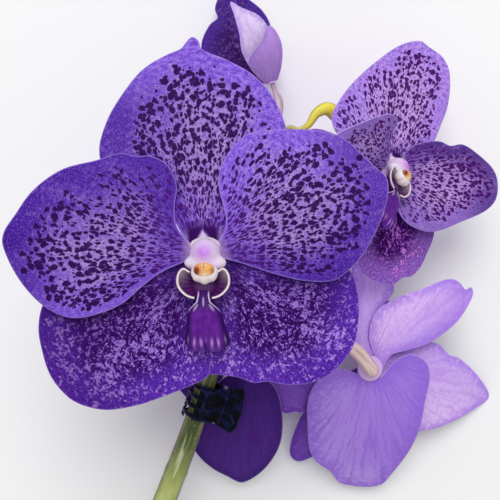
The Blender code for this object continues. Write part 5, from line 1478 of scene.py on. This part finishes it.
def plant_stem(name, body, tip, blush):
    """Green stem or stalk: smooth living skin with a thin wax, streaked along it, and brown toward its flanks.

    Toward its flanks and underside, its colour is partly its own tint and partly painted shade.
    A pale line along its upper left is a painted highlight, and small scars are pale.
    """
    material, tree, shader = start_material(name, 0.36, 0.3)
    along, high, left = (
        add(tree, "ShaderNodeAttribute", {"attribute_name": key}).outputs["Fac"]
        for key in ("along", "high", "left")
    )
    bark = add(tree, "ShaderNodeUVMap", {"uv_map": "bark"}).outputs["UV"]
    place = add(tree, "ShaderNodeTexCoord").outputs["Object"]
    turn = add(tree, "ShaderNodeMapRange", STEP, {0: along, 1: 0.3, 2: 0.44}).outputs[0]
    colour = add(tree, "ShaderNodeMix", COLOUR_MIX, {0: turn, 6: rgba(body), 7: rgba(tip)}).outputs[2]
    drawn = add(tree, "ShaderNodeVectorMath", MULTIPLY, {0: bark, 1: (1.0, 0.09, 1.0)}).outputs[0]
    streak = add(tree, "ShaderNodeTexNoise", FLAT_NOISE, {0: drawn, "Scale": 1.1, "Detail": 3.0}).outputs[0]
    dark = add(tree, "ShaderNodeMapRange", STEP, {0: streak, 1: 0.5, 2: 0.34, 3: 0.0, 4: 0.45}).outputs[0]
    colour = add(tree, "ShaderNodeMix", COLOUR_MIX, {0: dark, 6: colour, 7: rgba("#8c9a4c")}).outputs[2]
    cloud = add(tree, "ShaderNodeTexNoise", None, {0: place, "Scale": 240.0, "Detail": 4.0}).outputs[0]
    swept = add(tree, "ShaderNodeMapRange", None, {0: cloud, 1: 0.3, 2: 0.7, 3: -0.35, 4: 0.35}).outputs[0]
    # Toward the flanks and underside it turns to the blush colour: partly its own tint, partly painted shade.
    flank_tint_and_shade = add(tree, "ShaderNodeMapRange", STEP, {0: high, 1: 0.86, 2: 0.2, 3: 0.0, 4: 0.9}).outputs[0]
    flank_tint_and_shade = add(tree, "ShaderNodeMath", CLAMPED_MULTIPLY_ADD, {0: flank_tint_and_shade, 1: swept, 2: flank_tint_and_shade}).outputs[0]
    colour = add(tree, "ShaderNodeMix", COLOUR_MIX, {0: flank_tint_and_shade, 6: colour, 7: rgba(blush)}).outputs[2]
    # A painted highlight: a broken pale line along the upper left.
    off = add(tree, "ShaderNodeMath", SUBTRACT, {0: left, 1: 0.22}).outputs[0]
    off = add(tree, "ShaderNodeMath", {"operation": "ABSOLUTE"}, {0: off}).outputs[0]
    painted_highlight_line = add(tree, "ShaderNodeMapRange", STEP, {0: off, 1: 0.42, 2: 0.0, 3: -0.1, 4: 0.62}).outputs[0]
    patchy = add(tree, "ShaderNodeTexNoise", FLAT_NOISE, {0: drawn, "Scale": 0.8, "Detail": 3.0}).outputs[0]
    broken = add(tree, "ShaderNodeMapRange", STEP, {0: patchy, 1: 0.44, 2: 0.66}).outputs[0]
    painted_highlight_line = add(tree, "ShaderNodeMath", CLAMPED_MULTIPLY, {0: painted_highlight_line, 1: broken}).outputs[0]
    colour = add(tree, "ShaderNodeMix", COLOUR_MIX, {0: painted_highlight_line, 6: colour, 7: rgba("#dde4ba")}).outputs[2]
    fleck = {"Scale": 420.0, "Randomness": 1.0}
    scars = add(tree, "ShaderNodeTexVoronoi", {"feature": "F1"}, {"Vector": place, **fleck}).outputs["Distance"]
    rare = add(tree, "ShaderNodeMapRange", STEP, {0: scars, 1: 0.15, 2: 0.08, 3: 0.0, 4: 0.6}).outputs[0]
    colour = add(tree, "ShaderNodeMix", COLOUR_MIX, {0: rare, 6: colour, 7: rgba("#cfc6a6")}).outputs[2]
    tree.links.new(colour, shader.inputs["Base Color"])
    lifted = add(tree, "ShaderNodeBump", None, {"Strength": 0.5, "Distance": 0.15 * MM, "Height": streak})
    tree.links.new(lifted.outputs[0], shader.inputs["Normal"])
    return material


def dry_scale():
    """Dry papery scale: brown and dull, with fine straight fibres."""
    material, tree, shader = start_material("dry_flower_scale", 0.7, 0.3)
    bark = add(tree, "ShaderNodeUVMap", {"uv_map": "bark"}).outputs["UV"]
    drawn = add(tree, "ShaderNodeVectorMath", MULTIPLY, {0: bark, 1: (1.0, 0.1, 1.0)}).outputs[0]
    fibre = add(tree, "ShaderNodeTexNoise", FLAT_NOISE, {0: drawn, "Scale": 3.0, "Detail": 3.0}).outputs[0]
    mixed = add(tree, "ShaderNodeMapRange", None, {0: fibre, 1: 0.35, 2: 0.65}).outputs[0]
    inputs = {0: mixed, 6: rgba("#6b5236"), 7: rgba("#a98f5f")}
    colour = add(tree, "ShaderNodeMix", COLOUR_MIX, inputs).outputs[2]
    tree.links.new(colour, shader.inputs["Base Color"])
    return material


def moulded_plastic():
    """Injection-moulded black plastic: smooth and glossy, with patches of painted blue reflection and painted
    highlights.
    """
    material, tree, shader = start_material("black_moulded_plastic", 0.24, 0.07)
    place = add(tree, "ShaderNodeTexCoord").outputs["Object"]
    painted_clip_highlight = add(tree, "ShaderNodeAttribute", {"attribute_name": "painted_clip_highlight"}).outputs["Fac"]
    # Noise for uneven gloss and bumps, which also places the painted reflections and breaks up the painted
    # highlights.
    smudge_and_reflection = add(tree, "ShaderNodeTexNoise", None, {0: place, "Scale": 260.0, "Detail": 4.0}).outputs[0]
    gloss = add(tree, "ShaderNodeMapRange", None, {0: smudge_and_reflection, 1: 0.3, 2: 0.7, 3: 0.15, 4: 0.35}).outputs[0]
    tree.links.new(gloss, shader.inputs["Roughness"])
    # Painted reflection: patches of dark blue over the black.
    painted_blue_reflection = add(tree, "ShaderNodeMapRange", STEP, {0: smudge_and_reflection, 1: 0.44, 2: 0.66}).outputs[0]
    inputs = {0: painted_blue_reflection, 6: rgba("#05060f"), 7: rgba("#13173e")}
    colour = add(tree, "ShaderNodeMix", COLOUR_MIX, inputs).outputs[2]
    # Painted highlights on the ribs, teeth and sides, broken up at random.
    broken = add(tree, "ShaderNodeMapRange", STEP, {0: smudge_and_reflection, 1: 0.42, 2: 0.66, 3: 0.15, 4: 0.8}).outputs[0]
    broken_clip_highlight = add(tree, "ShaderNodeMath", MULTIPLY, {0: painted_clip_highlight, 1: broken}).outputs[0]
    colour = add(tree, "ShaderNodeMix", COLOUR_MIX, {0: broken_clip_highlight, 6: colour, 7: rgba("#323868")}).outputs[2]
    tree.links.new(colour, shader.inputs["Base Color"])
    lifted = add(tree, "ShaderNodeBump", None, {"Strength": 0.25, "Distance": 0.1 * MM, "Height": smudge_and_reflection})
    tree.links.new(lifted.outputs[0], shader.inputs["Normal"])
    return material


def drawn_steel():
    """Drawn steel wire: bright, with fine scratches from the die along it."""
    material, tree, shader = start_material("drawn_steel_wire", 0.3, 0.5)
    shader.inputs["Metallic"].default_value = 1.0
    place = add(tree, "ShaderNodeTexCoord").outputs["Object"]
    grain = add(tree, "ShaderNodeTexNoise", None, {0: place, "Scale": 2500.0, "Detail": 2.0}).outputs[0]
    inputs = {0: grain, 6: rgba("#8d8d92"), 7: rgba("#c9c9ce")}
    colour = add(tree, "ShaderNodeMix", COLOUR_MIX, inputs).outputs[2]
    tree.links.new(colour, shader.inputs["Base Color"])
    return material


def studio_paper():
    """Matt white studio paper, smooth enough to show no grain at this distance."""
    material, _, shader = start_material("studio_paper", 0.9, 0.2)
    shader.inputs["Base Color"].default_value = rgba("#f7f7f7")
    return material


# Settings


def length_setting(name, description, default):
    """A length setting in metres."""
    return bpy.props.FloatProperty(name=name, description=description, default=default, min=0.0, unit="LENGTH")


def colour_setting(name, description, hex_colour):
    """A colour setting, kept linear."""
    return bpy.props.FloatVectorProperty(
        name=name, description=description, subtype="COLOR", size=3, min=0.0, max=1.0, default=linear(hex_colour)
    )


class OrchidTepalSettings(bpy.types.PropertyGroup):
    thickness: length_setting("Thickness", "Thickness of a sepal or petal away from its rim", 0.6 * MM)
    rim_thickness: length_setting("Rim thickness", "Thickness of a sepal or petal at its rim", 0.28 * MM)
    margin: colour_setting("Margin", "Violet of a petal's plain margin", "#8a60e2")
    inner: colour_setting("Middle", "Paler ground between the spots", "#ac88ce")
    spot: colour_setting("Spots", "Dark spots on the petals", "#300850")
    # Violet that painted shade and darker mottling turn the inner faces toward.
    deep: colour_setting("Shade", "Deep violet of the darkest parts", "#421690")
    sepal: colour_setting("Lateral sepals", "Dark ground of the two lateral sepals", "#2f0650")
    fleck: colour_setting("Flecks", "Pale flecks on the lateral sepals", "#8a60c6")
    back: colour_setting("Backs", "Pale lilac of the outer faces", "#caa6f2")
    back_edge: colour_setting("Back edges", "Violet of the outer faces toward the rim", "#9468dc")


class OrchidStemSettings(bpy.types.PropertyGroup):
    green: colour_setting("Stem", "Olive green of the stem", "#bcc676")
    upper_green: colour_setting("Upper stem", "Green of the stem toward its tip", "#46542a")
    ovary: colour_setting("Ovaries", "Cream pink of the swollen stalks under the blooms", "#e8c6c8")


class OrchidStageSettings(bpy.types.PropertyGroup):
    camera_height: length_setting("Camera height", "Height of the camera over the surface", 0.313)
    key_power: bpy.props.FloatProperty(
        name="Key light", description="Power of the large soft light", default=13.5, min=0.0, unit="POWER"
    )
    sky: bpy.props.FloatProperty(name="Sky", description="Strength of the even light", default=0.6, min=0.0)


# Operators


def dress(piece, body, slot, *nodes):
    """Ties a finished piece to its CAD body and hides the CAD nodes that it stands for. slot is not used."""
    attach(piece, body)
    if nodes:
        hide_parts(*nodes)


class ORCHID_OT_stage(bpy.types.Operator):
    """Adds the pale floor, the soft light and the camera over the spray"""

    bl_idname = "orchid.stage"
    bl_label = "Stage"

    def execute(self, context):
        stage = context.scene.orchid_stage
        half, low = FLOOR_HALF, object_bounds()[0][2] - FLOOR_GAP
        mesh = bpy.data.meshes.new("paper_floor")
        corners = [(-half, -half, low), (half, -half, low), (half, half, low), (-half, half, low)]
        mesh.from_pydata(corners, [], [(0, 1, 2, 3)])
        mesh.materials.append(studio_paper())
        floor = bpy.data.objects.new("paper_floor", mesh)
        context.scene.collection.objects.link(floor)
        floor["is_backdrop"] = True
        camera = bpy.data.cameras.new("camera")
        camera.lens, camera.sensor_width = CAMERA_LENS, CAMERA_SENSOR
        camera.clip_start, camera.clip_end = 0.01, 20.0
        eye = bpy.data.objects.new("camera", camera)
        eye.location = (-ORIGIN[0] * MM, -ORIGIN[1] * MM, stage.camera_height)
        context.scene.collection.objects.link(eye)
        context.scene.camera = eye
        light = bpy.data.lights.new("key", "AREA")
        light.shape, light.size, light.energy = "DISK", KEY_SIZE, stage.key_power
        key = bpy.data.objects.new("key", light)
        key.location = KEY_PLACE
        aim = -unit(key.location)
        key.rotation_euler = (math.acos(-aim[2]), 0.0, math.atan2(-aim[0], aim[1]))
        context.scene.collection.objects.link(key)
        world = bpy.data.worlds.new("studio")
        world.use_nodes = True
        world.node_tree.nodes["Background"].inputs[0].default_value = (1.0, 1.0, 1.0, 1.0)
        world.node_tree.nodes["Background"].inputs[1].default_value = stage.sky
        context.scene.world = world
        context.scene.view_settings.view_transform = "Standard"
        return {"FINISHED"}


class ORCHID_OT_tepals(bpy.types.Operator):
    """Adds the sepals and petals of the five blooms"""

    bl_idname = "orchid.tepals"
    bl_label = "Sepals and Petals"

    def execute(self, context):
        chosen = context.scene.orchid_tepals
        skins = {
            # The last colour of each spotted skin is the violet of its painted shade and darker mottling.
            "spotted": spotted_skin(
                "orchid_petal_spotted", chosen.margin, chosen.inner, chosen.spot, chosen.deep
            ),
            "spotted_pale": spotted_skin(
                "orchid_petal_pale_spotted", "#b88ef4", "#cca4e8", "#480f62", "#40186e"
            ),
            "netted": netted_skin(
                "orchid_sepal_netted", chosen.sepal, "#4a1a80", "#6232b8", chosen.fleck, "#a884dc"
            ),
            "netted_magenta": netted_skin(
                "orchid_sepal_magenta", "#300550", "#5e1884", "#9c6cd2", "#984cba", "#d090e4"
            ),
            "netted_dark": netted_skin(
                "orchid_sepal_shaded", "#2c0e4e", "#42205f", "#5434a0", "#562f7c", "#6f4a98"
            ),
            "lilac_back": back_skin("orchid_lilac_back", "#e6c4fa", "#a478ea", "#c898e6", "#f2e0fe", 5.0),
            "white_back": back_skin("orchid_white_back", "#eedcfc", "#bd9cf4", "#d8b8ec", "#f8ecfe", 2.5),
            "mauve_back": back_skin("orchid_mauve_back", "#c8a0ea", "#a880dc", "#b388c6", "#d6b8f2", 3.0),
            "pale_back": back_skin(
                "orchid_pale_back", chosen.back, chosen.back_edge, "#8a62cc", "#e2caf8", 9.0
            ),
            "shaded_back": back_skin("orchid_shaded_back", "#8e60c8", "#5a2ea0", "#7a48b4", "#a880dc", 5.0),
            # Backs painted dark for the front bloom's shadow on the bottom bloom.
            "painted_shadow_back": back_skin("orchid_dark_back", "#4e2e88", "#3a1c6e", "#4c1c76", "#5e3c9c", 6.0),
        }
        for name, bloom in BLOOMS.items():
            for kind in bloom.tepals:
                piece = tepal_object(f"{name}_{kind}_tissue", kind, bloom, LOOKS[name][kind], skins, chosen)
                dress(piece, "spray", "tepal", f"{name}_{kind}")
        return {"FINISHED"}


class ORCHID_OT_columns(bpy.types.Operator):
    """Adds each bloom's column, with its cap and anther"""

    bl_idname = "orchid.columns"
    bl_label = "Columns"

    def execute(self, context):
        finishes = {"column": column_flesh(), "anther": anther_wax()}
        for name, bloom in BLOOMS.items():
            for piece in column_objects(name, bloom, finishes):
                dress(piece, "spray", "column", f"{name}_column")
        return {"FINISHED"}


class ORCHID_OT_lips(bpy.types.Operator):
    """Adds each bloom's lip, with its tongue, ears, claw and spur"""

    bl_idname = "orchid.lips"
    bl_label = "Lips"

    def execute(self, context):
        finishes = {"lip": lip_flesh(), "ear": ear_flesh()}
        for name, bloom in BLOOMS.items():
            for piece in lip_objects(name, bloom, finishes):
                dress(piece, "spray", "lip", f"{name}_lip")
        return {"FINISHED"}


class ORCHID_OT_stem(bpy.types.Operator):
    """Adds the stem, its five flower stalks and their dry scales"""

    bl_idname = "orchid.stem"
    bl_label = "Stem"

    def execute(self, context):
        chosen = context.scene.orchid_stem
        # The stem's dark flank colour is partly painted shade.
        green = plant_stem("orchid_stem_green", chosen.green, chosen.upper_green, "#635636")
        fresh = plant_stem("orchid_stalk_green", "#b4a848", "#f2e650", "#a8904c")
        mauve = plant_stem("orchid_stalk_mauve", "#a07ca0", "#cbaacc", "#8c6a94")
        blushed = plant_stem("orchid_stalk_blushed", "#a58a5c", chosen.ovary, "#caa0b0")
        scale = dry_scale()
        pieces = [tube_object("stem_skin", STEM, 220, 64, green, stem_swell)]
        for name, bloom in BLOOMS.items():
            points = stalk_points(name, bloom)
            finish = {"upper": fresh, "top": mauve}.get(name, blushed)
            pieces.append(tube_object(f"{name}_stalk_skin", points, 120, 48, finish, ovary_ribs))
            pieces.append(bract_object(f"{name}_scale", points, scale))
        for piece in pieces:
            dress(piece, "spray", "stem", "stem")
        return {"FINISHED"}


class ORCHID_OT_clip(bpy.types.Operator):
    """Adds the claw clip's jaws and spring, and finishes its pin"""

    bl_idname = "orchid.clip"
    bl_label = "Claw Clip"

    def execute(self, context):
        plastic, steel = moulded_plastic(), drawn_steel()
        for name, body in (("clip_front_jaw", "front_jaw"), ("clip_back_jaw", "spray")):
            piece = jaw_object(f"{name}_moulding", material=plastic, **JAWS[name])
            dress(piece, body, "clip", name)
        # One leg runs out to each jaw's tab, and the coil lies round the hinge between them.
        spring = spring_object("clip_spring_wire", steel)
        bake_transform(spring)
        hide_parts("clip_spring")
        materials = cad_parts["clip_pin"].data.materials
        for i in range(len(materials)):
            materials[i] = steel
        return {"FINISHED"}


class ORCHID_PT_panel(bpy.types.Panel):
    """Settings and steps of the orchid spray"""

    bl_idname = "ORCHID_PT_panel"
    bl_label = "Vanda Orchid Spray"
    bl_space_type = "VIEW_3D"
    bl_region_type = "UI"
    bl_category = "Orchid"

    def draw(self, context):
        for group in (context.scene.orchid_tepals, context.scene.orchid_stem, context.scene.orchid_stage):
            box = self.layout.box()
            for key in group.bl_rna.properties.keys():
                if key not in ("rna_type", "name"):
                    box.prop(group, key)
        for operator in STEPS:
            self.layout.operator(operator.bl_idname)


GROUPS = {
    "orchid_tepals": OrchidTepalSettings,
    "orchid_stem": OrchidStemSettings,
    "orchid_stage": OrchidStageSettings,
}
STEPS = (
    ORCHID_OT_stage, ORCHID_OT_stem, ORCHID_OT_tepals, ORCHID_OT_columns, ORCHID_OT_lips, ORCHID_OT_clip,
)


def register():
    for cls in (*GROUPS.values(), *STEPS, ORCHID_PT_panel):
        bpy.utils.register_class(cls)
    for key, group in GROUPS.items():
        setattr(bpy.types.Scene, key, bpy.props.PointerProperty(type=group))


def unregister():
    for key in GROUPS:
        delattr(bpy.types.Scene, key)
    for cls in reversed((*GROUPS.values(), *STEPS, ORCHID_PT_panel)):
        bpy.utils.unregister_class(cls)


def main():
    """Builds the whole spray."""
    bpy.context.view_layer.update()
    register()
    for operator in STEPS:
        getattr(bpy.ops.orchid, operator.bl_idname.split(".")[1])()


if __name__ == "__main__":
    main()
